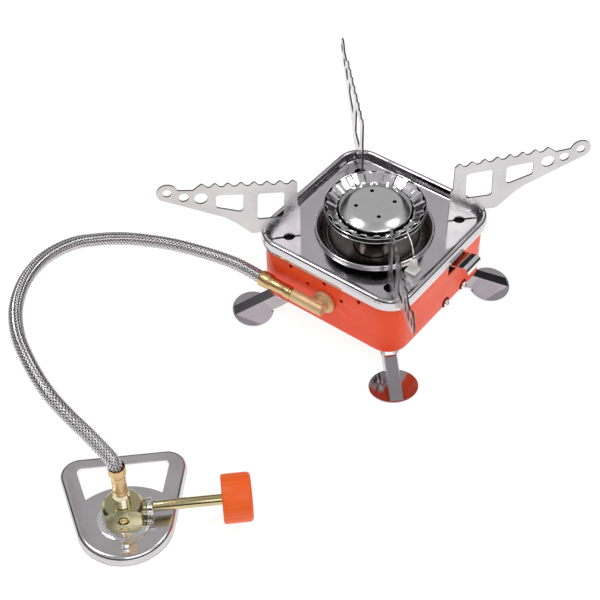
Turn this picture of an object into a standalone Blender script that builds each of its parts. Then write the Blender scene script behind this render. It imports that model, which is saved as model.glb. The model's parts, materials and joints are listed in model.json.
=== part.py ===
"""Folding canister stove with a remote valve: a square sheet-metal body on four folding legs, a
stainless deck with a ring burner, four serrated pot supports, and a braided hose to a valve plate.

All dimensions are in millimetres and become metres as each mesh is made. +Z is up. The origin is on
the ground under the burner's axis. The hose elbow is on the -Y face, the igniter lever on the +X face.
"""
import math

import bmesh
import bpy
from mathutils import Matrix, Vector

MM = 0.001
GAP = 0.3                      # clearance kept between neighbouring pieces

# ---- stove body and deck
DECK_Z = 53.3                  # top of the flat deck above the ground
BODY_HALF = 45.0
BODY_BOTTOM = 17.1
WALL = 0.8
CORNER = 32.5                  # centre of every corner arc, and of each pot support's pivot, in X and Y
SHEET = 0.6                    # deck, bowl and burner sheet
ARC_STEPS = 5                  # segments in each rounded corner
VENT_RADIUS = 1.2
VENT_PITCH = 11.0
PIVOT_HOLE = 3.25
BOWL_HOLE = 30.5

# ---- burner, heights relative to the deck
BOWL_NECK = 11.2
HEAD_RADIUS = 27.1
RING_PLEATS = 22
CAP_RADIUS = 14.4
CAP_HOLES_RADIUS = 10.3

# ---- pot supports: r runs outward from the pivot, z is above the deck
SUPPORT_THICK = 1.0
SUPPORT_HEADINGS = {"front": -47.0, "right": 46.5, "back": 135.5, "left": 227.0}
TOOTH_PITCH = 6.66
TOOTH_DEPTH = 2.3
TOOTH_COUNT = 8

# ---- legs: r runs outward from the stove's axis along a diagonal, z is above the ground
LEG_HEADINGS = {"front": -45.0, "right": 45.0, "back": 135.0, "left": 225.0}
LEG_PIVOT = (50.0, 15.0)
LEG_HALF = 3.6
LEG_TIP = 77.8
FOOT_CENTRE = 69.5
FOOT_RADIUS = 13.2

# ---- gas inlet
INLET_X = 1.0
INLET_Z = DECK_Z - 18.2
BARREL_Y = -51.6

# ---- igniter
LEVER_Y = (5.2, 18.2)
LEVER_Z = DECK_Z - 4.0
LEVER_PIVOT = (33.5, DECK_Z - 6.0)      # X and Z of the lever's pin
PLUNGER_X = 39.6
SCREW_POINTS = ((3.9, 20.6), (21.0, 20.6))

# ---- valve plate at the hose's far end
VALVE_AT = (-6.5, -197.2)
VALVE_TURN = 44.0              # heading of the spindle
PLATE_HEIGHT = 6.0
PLATE_ROUND = 24.2
PLATE_TOP_EDGE = 39.2
PLATE_TAPER = 13.3
PLATE_CORNER = 10.0
VALVE_TOP = 17.2
BLOCK_RADIUS = 10.0
BLOCK_FLAT = -5.6
METERING_X = -0.4
METERING_Z = 10.2
SPINDLE_Z = 12.6
KNOB_RADIUS = 12.1
KNOB_SPAN = (47.3, 61.8)
KNOB_RIBS = 12

# ---- braided hose
HOSE_RADIUS = 3.6
FERRULE_END_X = -36.6
HOSE_SPACING = 10.0            # between the tube's own points
ROUTE_STEPS = 20               # straight steps between two of the route's points, for measuring it
HOSE_ROUTE = (
    (-36.9, -51.6, 35.1), (-45.0, -51.6, 35.5), (-53.0, -52.5, 36.3), (-62.0, -54.7, 37.3),
    (-73.0, -59.1, 39.3), (-84.0, -65.6, 42.6), (-94.0, -75.0, 47.3), (-101.9, -86.7, 53.4),
    (-107.0, -100.4, 60.0), (-109.3, -115.8, 67.2), (-107.6, -135.4, 73.6), (-99.8, -155.6, 79.0),
    (-87.0, -174.2, 82.8), (-71.5, -187.8, 84.6), (-55.3, -196.4, 83.0), (-40.6, -201.0, 78.0),
    (-28.3, -201.5, 70.8), (-18.6, -199.9, 62.4), (-11.6, -198.3, 54.2), (-8.2, -197.5, 49.4),
)

COLOURS = {
    "orange_paint": ((0.80, 0.09, 0.02), 0.35, 0.0),
    "orange_plastic": ((0.95, 0.16, 0.02), 0.45, 0.0),
    "stainless": ((0.62, 0.60, 0.60), 0.22, 1.0),
    "burnt_steel": ((0.10, 0.09, 0.09), 0.40, 1.0),
    "chrome": ((0.80, 0.80, 0.80), 0.10, 1.0),
    "brass": ((0.72, 0.52, 0.20), 0.25, 1.0),
    "cast_brass": ((0.68, 0.49, 0.30), 0.50, 1.0),
    "yellow_zinc": ((0.52, 0.46, 0.26), 0.30, 1.0),
    "braid": ((0.60, 0.60, 0.62), 0.35, 1.0),
    "ceramic": ((0.85, 0.84, 0.80), 0.35, 0.0),
    "black_plastic": ((0.03, 0.03, 0.03), 0.50, 0.0),
    "rubber": ((0.02, 0.02, 0.02), 0.80, 0.0),
}


# ------------------------------------------------------------------ helpers
def clear_scene():
    for item in list(bpy.data.objects):
        bpy.data.objects.remove(item, do_unlink=True)


def material(name):
    """One Principled material per finish, made when it is first asked for."""
    found = bpy.data.materials.get(name)
    if found:
        return found
    colour, roughness, metallic = COLOURS[name]
    made = bpy.data.materials.new(name)
    made.use_nodes = True
    shader = made.node_tree.nodes["Principled BSDF"]
    shader.inputs["Base Color"].default_value = (*colour, 1.0)
    shader.inputs["Roughness"].default_value = roughness
    shader.inputs["Metallic"].default_value = metallic
    return made


def empty(name, at, turn=0.0, parent=None):
    """A frame that pieces are parented to: its place in millimetres and its turn about Z in degrees."""
    made = bpy.data.objects.new(name, None)
    bpy.context.collection.objects.link(made)
    made.parent = parent
    made.location = Vector(at) * MM
    made.rotation_euler = (0.0, 0.0, math.radians(turn))
    return made


def finish(name, mesh_bm, finish_name, parent=None, smooth=True):
    """Turns a bmesh in millimetres into a named object in metres, with its faces pointing out."""
    bmesh.ops.remove_doubles(mesh_bm, verts=mesh_bm.verts, dist=0.0005)
    bmesh.ops.recalc_face_normals(mesh_bm, faces=mesh_bm.faces)
    bmesh.ops.scale(mesh_bm, vec=(MM, MM, MM), verts=mesh_bm.verts)
    mesh = bpy.data.meshes.new(name)
    mesh_bm.to_mesh(mesh)
    mesh_bm.free()
    if smooth:
        mesh.shade_smooth()
        mesh.set_sharp_from_angle(angle=math.radians(35))
    mesh.materials.append(material(finish_name))
    made = bpy.data.objects.new(name, mesh)
    bpy.context.collection.objects.link(made)
    made.parent = parent
    return made


def boolean(target, tool, operation="DIFFERENCE"):
    """Cuts or joins target with tool, which stays in the file as a wire guide."""
    tool.hide_render = True
    tool.display_type = "WIRE"
    modifier = target.modifiers.new(operation.title(), "BOOLEAN")
    modifier.operation = operation
    modifier.solver = "EXACT"
    modifier.use_self = True
    modifier.object = tool


def loft(bm, loops, closed=False):
    """Skins loops of equal length. Open lofts are capped, closed ones return to the first loop."""
    rings = [[bm.verts.new(point) for point in loop] for loop in loops]
    pairs = list(zip(rings, rings[1:]))
    if closed:
        pairs.append((rings[-1], rings[0]))
    for low, high in pairs:
        for i in range(len(low)):
            j = (i + 1) % len(low)
            bm.faces.new((low[i], low[j], high[j], high[i]))
    if not closed:
        bm.faces.new(list(reversed(rings[0])))
        bm.faces.new(rings[-1])


def circle(radius, z=0.0, steps=32, centre=(0.0, 0.0), start=0.0):
    return [(centre[0] + radius * math.cos(start + math.tau * i / steps),
             centre[1] + radius * math.sin(start + math.tau * i / steps), z) for i in range(steps)]


def turned(bm, profile, steps=32, closed=False):
    """Turns a profile of (radius, height) about Z: closed for a tube or shell, open for a solid."""
    loft(bm, [circle(radius, z, steps) for radius, z in profile], closed)


def arc(centre, radius, start, end, steps):
    """Points on an arc, angles in degrees, both ends included."""
    points = []
    for i in range(steps + 1):
        angle = math.radians(start + (end - start) * i / steps)
        points.append((centre[0] + radius * math.cos(angle), centre[1] + radius * math.sin(angle)))
    return points


def prism(bm, outline, low, high, holes=()):
    """A flat plate with straight walls: an outline and its holes, filled and raised from low to high."""
    edges = []
    for ring in (outline, *holes):
        verts = [bm.verts.new((x, y, low)) for x, y in ring]
        edges += [bm.edges.new((a, b)) for a, b in zip(verts, verts[1:] + verts[:1])]
    filled = bmesh.ops.triangle_fill(bm, use_beauty=True, edges=edges, normal=(0.0, 0.0, -1.0))
    faces = [item for item in filled["geom"] if isinstance(item, bmesh.types.BMFace)]
    raised = bmesh.ops.extrude_face_region(bm, geom=faces, use_keep_orig=True)
    verts = [item for item in raised["geom"] if isinstance(item, bmesh.types.BMVert)]
    bmesh.ops.translate(bm, verts=verts, vec=(0.0, 0.0, high - low))


def pressed_sheet(bm, section, flat_loop, heights, holes):
    """A sheet whose flat middle, with its holes, runs out into a formed edge given as loops."""
    rings = [[bm.verts.new(point) for point in loop] for loop in section]
    for low, high in zip(rings, rings[1:]):
        for i in range(len(low)):
            j = (i + 1) % len(low)
            bm.faces.new((low[i], low[j], high[j], high[i]))
    levels = []
    for height in heights:
        edges = []
        loops = []
        for ring in (flat_loop, *holes):
            verts = [bm.verts.new((x, y, height)) for x, y in ring]
            loops.append(verts)
            edges += [bm.edges.new((a, b)) for a, b in zip(verts, verts[1:] + verts[:1])]
        bmesh.ops.triangle_fill(bm, use_beauty=True, edges=edges, normal=(0.0, 0.0, 1.0))
        levels.append(loops[1:])
    for upper, lower in zip(*levels):
        for i in range(len(upper)):
            j = (i + 1) % len(upper)
            bm.faces.new((upper[i], upper[j], lower[j], lower[i]))


def flat(loop):
    return [(x, y) for x, y, _ in loop]


def box(bm, low, high):
    corners = [(low[0], low[1]), (high[0], low[1]), (high[0], high[1]), (low[0], high[1])]
    loft(bm, [[(x, y, z) for x, y in corners] for z in (low[2], high[2])])


def rod(bm, start, end, radius, steps=16, start_angle=0.0):
    """A straight round bar between two points."""
    axis = Vector(end) - Vector(start)
    turn = axis.to_track_quat("Z", "Y").to_matrix().to_4x4()
    place = Matrix.Translation(Vector(start)) @ turn
    loops = [[place @ Vector(p) for p in circle(radius, z, steps, start=start_angle)]
             for z in (0.0, axis.length)]
    loft(bm, loops)


def moved(bm, matrix):
    bmesh.ops.transform(bm, matrix=matrix, verts=bm.verts)


def tube(name, points, radius, finish_name):
    """A round tube or wire along its points, with a filled cap at each end."""
    curve = bpy.data.curves.new(name, "CURVE")
    curve.dimensions = "3D"
    curve.bevel_depth = radius * MM
    curve.bevel_resolution = 2
    curve.use_fill_caps = True
    spline = curve.splines.new("POLY")
    spline.points.add(len(points) - 1)
    for point, place in zip(spline.points, points):
        point.co = (*(Vector(place) * MM), 1.0)
    curve.materials.append(material(finish_name))
    made = bpy.data.objects.new(name, curve)
    bpy.context.collection.objects.link(made)


def square_loop(rho, z, steps=ARC_STEPS):
    """A square with round corners about the four pivots, rho outside each pivot's centre."""
    points = []
    for sx, sy, start in ((1, 1, 0), (-1, 1, 90), (-1, -1, 180), (1, -1, 270)):
        points += arc((sx * CORNER, sy * CORNER), rho, start, start + 90, steps)
    return [(x, y, z) for x, y in points]


def rounded(corners, radius, steps=2):
    """A polygon with every corner rounded by the same radius."""
    points = []
    count = len(corners)
    for i, corner in enumerate(corners):
        here = Vector(corner)
        before = (Vector(corners[i - 1]) - here).normalized()
        after = (Vector(corners[(i + 1) % count]) - here).normalized()
        half = before.angle(after) / 2
        reach = radius / math.tan(half)
        centre = here + (before + after).normalized() * radius / math.sin(half)
        start = here + before * reach - centre
        end = here + after * reach - centre
        sweep = start.angle_signed(end)
        for k in range(steps + 1):
            turn = Matrix.Rotation(-sweep * k / steps, 2)
            points.append(tuple(centre + turn @ start))
    return points


# ------------------------------------------------------------------ body, deck and base
def wall_cutters():
    """Vents on three faces, the lever's window, the inlet's hole and the two screw holes."""
    bm = bmesh.new()
    for k in range(-2, 3):
        height = DECK_Z - (12.8 if k % 2 else 6.7)
        along = k * VENT_PITCH
        rod(bm, (along, -BODY_HALF - 3, height), (along, -BODY_HALF + 3, height), VENT_RADIUS, 8)
        rod(bm, (along, BODY_HALF - 3, height), (along, BODY_HALF + 3, height), VENT_RADIUS, 8)
        rod(bm, (-BODY_HALF - 3, along, height), (-BODY_HALF + 3, along, height), VENT_RADIUS, 8)
    box(bm, (BODY_HALF - 3, LEVER_Y[0] - 1.0, DECK_Z - 13.6), (BODY_HALF + 3, LEVER_Y[1] + 1.0, DECK_Z - 2.3))
    rod(bm, (INLET_X, -BODY_HALF - 3, INLET_Z), (INLET_X, -BODY_HALF + 3, INLET_Z), 3.6, 14)
    for y, z in SCREW_POINTS:
        rod(bm, (BODY_HALF - 3, y, z), (BODY_HALF + 3, y, z), 3.1, 10)
    return finish("wall_cutters", bm, "orange_paint")


def body_shell():
    """The painted box: straight walls, a flange under the deck and a rolled lip round the open bottom."""
    outer = BODY_HALF - CORNER
    top = DECK_Z - SHEET - GAP
    low = BODY_BOTTOM
    section = (
        (outer - 4.0, top), (outer - 0.6, top), (outer, top - 0.6),
        (outer, low + 2.0), (outer - 0.6, low + 0.6), (outer - 2.0, low), (outer - 3.2, low),
        (outer - 3.2, low + WALL), (outer - 2.1, low + WALL), (outer - 1.2, low + 1.2),
        (outer - WALL, low + 2.1), (outer - WALL, top - WALL), (outer - 4.0, top - WALL),
    )
    bm = bmesh.new()
    loft(bm, [square_loop(rho, z) for rho, z in section], closed=True)
    shell = finish("body_shell", bm, "orange_paint")
    boolean(shell, wall_cutters())


def keyhole(quadrant):
    """A pivot hole with the short slot that the pot support's lower edge drops into."""
    half_slot = 0.9
    hole = arc((0.0, 0.0), PIVOT_HOLE, 16, 344, 12)
    slot = [(6.9, -half_slot), (6.9, half_slot)]
    turn = Matrix.Rotation(math.radians(quadrant), 2)
    heading = math.radians(quadrant)
    centre = Vector((math.copysign(CORNER, math.cos(heading)), math.copysign(CORNER, math.sin(heading))))
    return [tuple(centre + turn @ Vector(point)) for point in hole + slot]


def deck_tray():
    """The pressed stainless tray: a flat deck inside a raised rolled rim that hangs over the body."""
    rim_top = ((9.3, 0.15), (10.3, 0.9), (10.9, 2.4), (11.5, 4.0), (12.6, 4.9), (13.6, 4.9),
               (14.6, 4.1), (15.05, 2.6), (15.1, 1.0), (14.8, -0.9), (14.8, -1.8))
    rim_under = ((14.2, -1.8), (14.2, -0.9), (14.5, 1.0), (14.45, 2.4), (14.1, 3.6), (13.4, 4.3),
                 (12.8, 4.3), (12.0, 3.7), (11.4, 2.2), (10.8, 0.4), (9.5, -0.45))
    inner = 7.6
    profile = ((inner, 0.0), *rim_top, *rim_under, (inner, -SHEET))
    holes = [flat(circle(BOWL_HOLE, steps=32))]
    holes += [keyhole(quadrant) for quadrant in (45, 135, 225, 315)]
    bm = bmesh.new()
    pressed_sheet(bm, [square_loop(rho, DECK_Z + z) for rho, z in profile], flat(square_loop(inner, 0.0)),
                  (DECK_Z, DECK_Z - SHEET), holes)
    finish("deck_tray", bm, "stainless")


def base_plate():
    """The floor of the burner space, notched for the piezo unit and for the inlet's nut."""
    edge = BODY_HALF - WALL - GAP
    corner = 11.6
    notch_x = 34.9
    nut_y = -40.2
    outline = [
        (-edge + corner, -edge), (-7.0, -edge), (-7.0, nut_y), (9.0, nut_y), (9.0, -edge),
        (edge - corner, -edge), (edge, -edge + corner), (edge, -1.5),
        (notch_x, -1.5), (notch_x, 26.5), (edge, 26.5), (edge, edge - corner), (edge - corner, edge),
        (-edge + corner, edge), (-edge, edge - corner), (-edge, -edge + corner),
    ]
    bm = bmesh.new()
    prism(bm, outline, DECK_Z - 22.7, DECK_Z - 22.0)
    finish("base_plate", bm, "stainless", smooth=False)


# ------------------------------------------------------------------ burner
def burner_bowl():
    """The dished bowl round the burner, with a beaded edge on the deck and four air holes."""
    profile = (
        (32.6, 0.3), (32.3, 1.4), (31.2, 1.9), (29.9, 1.4), (28.8, -1.5), (27.6, -5.0), (24.5, -8.6),
        (BOWL_NECK, -12.2), (BOWL_NECK, -12.8), (24.9, -9.2), (28.2, -5.2), (29.4, -1.6),
        (30.0, 0.6), (31.2, 1.3), (31.9, 0.3),
    )
    bm = bmesh.new()
    turned(bm, [(r, DECK_Z + z) for r, z in profile], 32, closed=True)
    bowl = finish("burner_bowl", bm, "burnt_steel")
    cutter = bmesh.new()
    for x, y in ((1, 0), (0, 1), (-1, 0), (0, -1)):
        rod(cutter, (24.4 * x, 24.4 * y, DECK_Z - 16), (24.4 * x, 24.4 * y, DECK_Z - 5), 2.3, 10)
    boolean(bowl, finish("bowl_cutters", cutter, "burnt_steel"))


def burner_head():
    """Mixing tube, cup, pleated flame ring and cap, stacked on the burner's axis."""
    bm = bmesh.new()
    tube = ((10.6, -14.5), (10.6, 5.0), (10.0, 5.0), (10.0, -14.5))
    turned(bm, [(r, DECK_Z + z) for r, z in tube], 24, closed=True)
    finish("mixing_tube", bm, "burnt_steel")

    bm = bmesh.new()
    cup = ((10.9, 5.3), (12.0, 7.0), (17.0, 10.0), (25.2, 12.9), (HEAD_RADIUS, 14.0),
           (HEAD_RADIUS, 16.2), (26.5, 16.6), (25.8, 16.2), (25.8, 14.6), (17.0, 11.1), (12.0, 8.2),
           (10.0, 5.3))
    turned(bm, [(r, DECK_Z + z) for r, z in cup], 32, closed=True)
    finish("burner_cup", bm, "burnt_steel")

    bm = bmesh.new()
    cap = ((CAP_RADIUS - 0.6, 16.3), (18.4, 14.3), (18.4, 13.2), (19.2, 13.2), (19.2, 14.7),
           (CAP_RADIUS + 0.4, 16.9), (CAP_RADIUS - 0.2, 17.1))
    turned(bm, [(r, DECK_Z + z) for r, z in cap], 32)
    cap_piece = finish("burner_cap", bm, "stainless")
    cutter = bmesh.new()
    for k in range(4):
        angle = math.radians(45 + 90 * k)
        x, y = CAP_HOLES_RADIUS * math.cos(angle), CAP_HOLES_RADIUS * math.sin(angle)
        rod(cutter, (x, y, DECK_Z + 15), (x, y, DECK_Z + 19), 1.15, 8)
    boolean(cap_piece, finish("cap_cutters", cutter, "stainless"))


def flame_ring():
    """The pleated ring between cap and cup: its flutes deepen from the inner foot to the open top."""
    sheet = 0.4
    rows = ((20.6, 13.8, 0.6), (23.9, 16.9, 1.2))
    steps = RING_PLEATS * 2

    def row(radius, z, depth):
        points = []
        for i in range(steps):
            angle = math.tau * i / steps
            wave = radius + depth * math.cos(RING_PLEATS * angle)
            points.append((wave * math.cos(angle), wave * math.sin(angle), DECK_Z + z))
        return points

    inner = [row(radius - sheet, z, depth) for radius, z, depth in rows]
    outer = [row(radius, z - 0.1, depth) for radius, z, depth in rows]
    bm = bmesh.new()
    loft(bm, inner + outer[::-1], closed=True)
    finish("flame_ring", bm, "stainless")


# ------------------------------------------------------------------ gas inlet and jet
def gas_inlet():
    """Elbow on the -Y face, its nut inside the wall, the inlet pipe, the jet block and the jet."""
    wall_out = -BODY_HALF
    bm = bmesh.new()
    rod(bm, (INLET_X - 16.8, BARREL_Y, INLET_Z), (INLET_X + 3.4, BARREL_Y, INLET_Z), 3.6, 16)
    elbow = finish("inlet_elbow", bm, "cast_brass")
    join = bmesh.new()
    rod(join, (INLET_X, BARREL_Y, INLET_Z), (INLET_X, wall_out - GAP, INLET_Z), 3.3, 16)
    boolean(elbow, finish("elbow_neck", join, "cast_brass"), "UNION")
    join = bmesh.new()
    rod(join, (INLET_X, wall_out - GAP - 2.2, INLET_Z), (INLET_X, wall_out - GAP, INLET_Z), 6.6, 20)
    boolean(elbow, finish("elbow_flange", join, "cast_brass"), "UNION")

    bm = bmesh.new()
    nut_in = wall_out + WALL + GAP
    ring = [[(INLET_X + x, y, INLET_Z + z) for x, z, _ in circle(radius, steps=steps, start=math.pi / steps)]
            for radius, steps in ((5.6, 12), (3.0, 12)) for y in (nut_in, nut_in + 3.0)]
    loft(bm, [ring[0], ring[1], ring[3], ring[2]], closed=True)
    finish("inlet_nut", bm, "brass")

    bm = bmesh.new()
    rod(bm, (INLET_X, wall_out + 0.1, INLET_Z), (INLET_X, -5.3, INLET_Z), 2.6, 12)
    finish("inlet_pipe", bm, "brass")

    bm = bmesh.new()
    rod(bm, (0, 0, INLET_Z - 3.2), (0, 0, INLET_Z + 3.0), 4.9, 16)
    finish("jet_block", bm, "brass")
    bm = bmesh.new()
    turned(bm, [(2.4, INLET_Z + 3.3), (2.4, INLET_Z + 5.0), (1.2, INLET_Z + 6.4)], 12)
    finish("jet_nozzle", bm, "brass")


def ferrule(name, profile, place, steps=16):
    bm = bmesh.new()
    turned(bm, profile, steps)
    moved(bm, place)
    finish(name, bm, "brass")


def hose_and_ferrules():
    """The braided hose on its own smooth route, with a crimped brass ferrule at each end."""
    elbow_end = INLET_X - 16.8 - GAP
    length = elbow_end - FERRULE_END_X
    stove_profile = [(2.9, 0.0), (2.9, 1.0), (3.6, 1.4), (3.6, 3.0), (3.5, 3.4), (3.5, length * 0.64),
                     (4.3, length * 0.70), (4.3, length - 0.4), (3.9, length)]
    place = Matrix.Translation((elbow_end, BARREL_Y, INLET_Z)) @ Matrix.Rotation(math.radians(-90), 4, "Y")
    ferrule("stove_ferrule", stove_profile, place)
    valve_profile = [(3.5, 26.5), (3.75, 27.4), (3.75, 29.6), (3.4, 30.2), (3.5, 39.6), (4.1, 40.6),
                     (4.2, 44.6), (4.05, 46.0)]
    ferrule("valve_ferrule", valve_profile, Matrix.Translation((*VALVE_AT, 0.0)))

    tube("gas_hose", smooth_route(HOSE_ROUTE), HOSE_RADIUS, "braid")


def smooth_route(route):
    """Points at an even spacing along a Catmull-Rom curve through the route's own points."""
    knots = [Vector(point) for point in route]
    ends = [2 * knots[0] - knots[1], *knots, 2 * knots[-1] - knots[-2]]
    fine = []
    for a, b, c, d in zip(ends, ends[1:], ends[2:], ends[3:]):
        for k in range(ROUTE_STEPS):
            t = k / ROUTE_STEPS
            fine.append(0.5 * (2 * b + (c - a) * t + (2 * a - 5 * b + 4 * c - d) * t * t
                               + (3 * b - a - 3 * c + d) * t ** 3))
    fine.append(knots[-1])
    along = [0.0]
    for a, b in zip(fine, fine[1:]):
        along.append(along[-1] + (b - a).length)
    count = round(along[-1] / HOSE_SPACING)
    points = []
    for k in range(count + 1):
        want = along[-1] * k / count
        i = max(1, next(n for n, s in enumerate(along) if s >= want - 1e-9 or n == len(along) - 1))
        part = (want - along[i - 1]) / (along[i] - along[i - 1])
        points.append(tuple(fine[i - 1].lerp(fine[i], part)))
    return points


# ------------------------------------------------------------------ pot supports
def support_outline():
    """The serrated plate in (r, z): inner edge, toothed top, ring end and stepped lower edge."""
    over_rim = 5.6
    outline = [(-6.2, 0.6), (-6.2, 20.0), (-4.9, 22.0), (-4.8, 36.6)]
    for k in range(TOOTH_COUNT):
        r = -2.5 + k * TOOTH_PITCH
        z = 38.8 + k * (43.4 - 38.8) / (TOOTH_COUNT - 1)
        outline += [(r - 1.1, z - 0.5), (r, z), (r + 1.1, z - 0.3)]
        if k < TOOTH_COUNT - 1:
            outline += [(r + 2.3, z - TOOTH_DEPTH + 0.2), (r + TOOTH_PITCH - 2.3, z - TOOTH_DEPTH + 0.5)]
    outline += [(48.8, 39.9), (55.4, 40.6)]
    outline += arc((62.0, 40.0), 5.4, 150, -80, 8)
    outline += [(32.7, 18.6), (28.5, 15.4), (19.6, over_rim + 0.4), (18.6, over_rim), (9.0, over_rim),
                (9.0, 0.6), (3.4, 0.6), (3.4, 1.7), (-3.4, 1.7), (-3.4, 0.6)]
    return outline


def support_holes():
    first = rounded([(37.4, 34.8), (23.0, 33.4), (23.7, 21.3), (37.6, 26.6)], 1.8)
    second = rounded([(15.8, 32.6), (1.8, 31.5), (2.5, 14.6), (16.5, 15.0)], 1.8)
    holes = [first, second]
    for r, z, radius, steps in ((62.0, 40.0, 2.3, 8), (53.7, 35.9, 2.6, 8), (45.0, 34.0, 3.5, 10)):
        holes.append(flat(circle(radius, steps=steps, centre=(r, z))))
    return holes


def pivot_point(heading):
    """The pivot nearest to a heading: its quadrant's corner."""
    angle = math.radians(heading)
    return (math.copysign(CORNER, math.cos(angle)), math.copysign(CORNER, math.sin(angle)), 0.0)


def pot_support(corner, heading):
    """One serrated support on its stem, and the cup under the deck that the stem turns in."""
    pivot = empty(f"support_pivot_{corner}", pivot_point(heading), heading)
    bm = bmesh.new()
    prism(bm, support_outline(), -SUPPORT_THICK / 2, SUPPORT_THICK / 2, support_holes())
    moved(bm, Matrix.Translation((0, 0, DECK_Z)) @ Matrix.Rotation(math.radians(90), 4, "X"))
    finish(f"pot_support_{corner}", bm, "stainless", pivot, smooth=False)

    bm = bmesh.new()
    stem = ((2.2, -13.9), (2.2, -3.4), (4.6, -3.2), (4.6, -0.95), (2.8, -0.9), (2.8, 1.3))
    turned(bm, [(r, DECK_Z + z) for r, z in stem], 12)
    finish(f"support_stem_{corner}", bm, "stainless", pivot)

    cup = ((6.2, -0.9), (6.2, -13.0), (2.6, -13.0), (2.6, -12.3), (5.4, -12.3), (5.4, -0.9))
    bm = bmesh.new()
    turned(bm, [(r, DECK_Z + z) for r, z in cup], 12, closed=True)
    moved(bm, Matrix.Translation(pivot_point(heading)))
    finish(f"pivot_cup_{corner}", bm, "stainless")


# ------------------------------------------------------------------ legs
def leg(corner, heading):
    """A channel leg with half-round feet, its bracket under the base plate, both set on a diagonal."""
    place = Matrix.Rotation(math.radians(heading), 4, "Z")
    pivot_r, pivot_z = LEG_PIVOT
    joint = empty(f"leg_pivot_{corner}", place @ Vector((pivot_r, 0, pivot_z)), heading)
    upright = Matrix.Rotation(math.radians(90), 4, "X")

    def side(points):
        return [(r - pivot_r, z - pivot_z) for r, z in points]

    slope_top = (55.0, 13.1)
    slope_end = (LEG_TIP, 0.9)
    flange = side([slope_top, slope_end, (LEG_TIP, 0.0), (57.0, 0.0), (56.6, 1.8), (51.9, 4.0), (47.4, 6.6)])
    flange += arc((0.0, 0.0), 3.2, 190, 60, 5)
    bm = bmesh.new()
    prism(bm, flange, -LEG_HALF, LEG_HALF)
    moved(bm, upright)
    piece = finish(f"leg_{corner}", bm, "stainless", joint)

    bm = bmesh.new()
    disc = arc((FOOT_CENTRE - pivot_r, 0.0), FOOT_RADIUS, 51.0, 309.0, 16)
    prism(bm, disc, -pivot_z, -pivot_z + 0.8)
    boolean(piece, finish(f"leg_foot_{corner}", bm, "stainless", joint), "UNION")

    bm = bmesh.new()
    inner = side([(55.4, 11.95), (LEG_TIP - 1.4, 0.75), (LEG_TIP - 1.4, -2.0), (40.0, -2.0), (40.0, 22.0),
                  (55.4, 22.0)])
    prism(bm, inner, -LEG_HALF + 0.8, LEG_HALF - 0.8)
    moved(bm, upright)
    rod(bm, (0, -8, 0), (0, 8, 0), 1.6, 8)
    boolean(piece, finish(f"leg_channel_{corner}", bm, "stainless", joint))

    under_floor = DECK_Z - 22.7 - GAP
    ear_in, ear_out = LEG_HALF + 0.4, LEG_HALF + 1.2
    section = [(-ear_out, 11.6), (-ear_in, 11.6), (-ear_in, under_floor - 0.8), (ear_in, under_floor - 0.8),
               (ear_in, 11.6), (ear_out, 11.6), (ear_out, under_floor), (-ear_out, under_floor)]
    bm = bmesh.new()
    loft(bm, [[(r, y, z) for y, z in section] for r in (pivot_r - 3.6, pivot_r + 3.6)])
    moved(bm, place)
    bracket = finish(f"leg_bracket_{corner}", bm, "stainless", smooth=False)
    bm = bmesh.new()
    rod(bm, (pivot_r, -8, pivot_z), (pivot_r, 8, pivot_z), 1.6, 8)
    moved(bm, place)
    boolean(bracket, finish(f"bracket_bore_{corner}", bm, "stainless"))


def leg_pin(corner, heading):
    """The headed pin through one bracket and its leg."""
    reach = LEG_HALF + 1.2 + GAP
    profile = [(2.2, -reach - 0.9), (2.2, -reach), (1.25, -reach), (1.25, reach), (2.2, reach),
               (2.2, reach + 0.9)]
    bm = bmesh.new()
    turned(bm, profile, 10)
    pivot_r, pivot_z = LEG_PIVOT
    moved(bm, Matrix.Rotation(math.radians(heading), 4, "Z") @ Matrix.Translation((pivot_r, 0, pivot_z))
          @ Matrix.Rotation(math.radians(90), 4, "X"))
    finish(f"leg_pin_{corner}", bm, "stainless")


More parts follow.
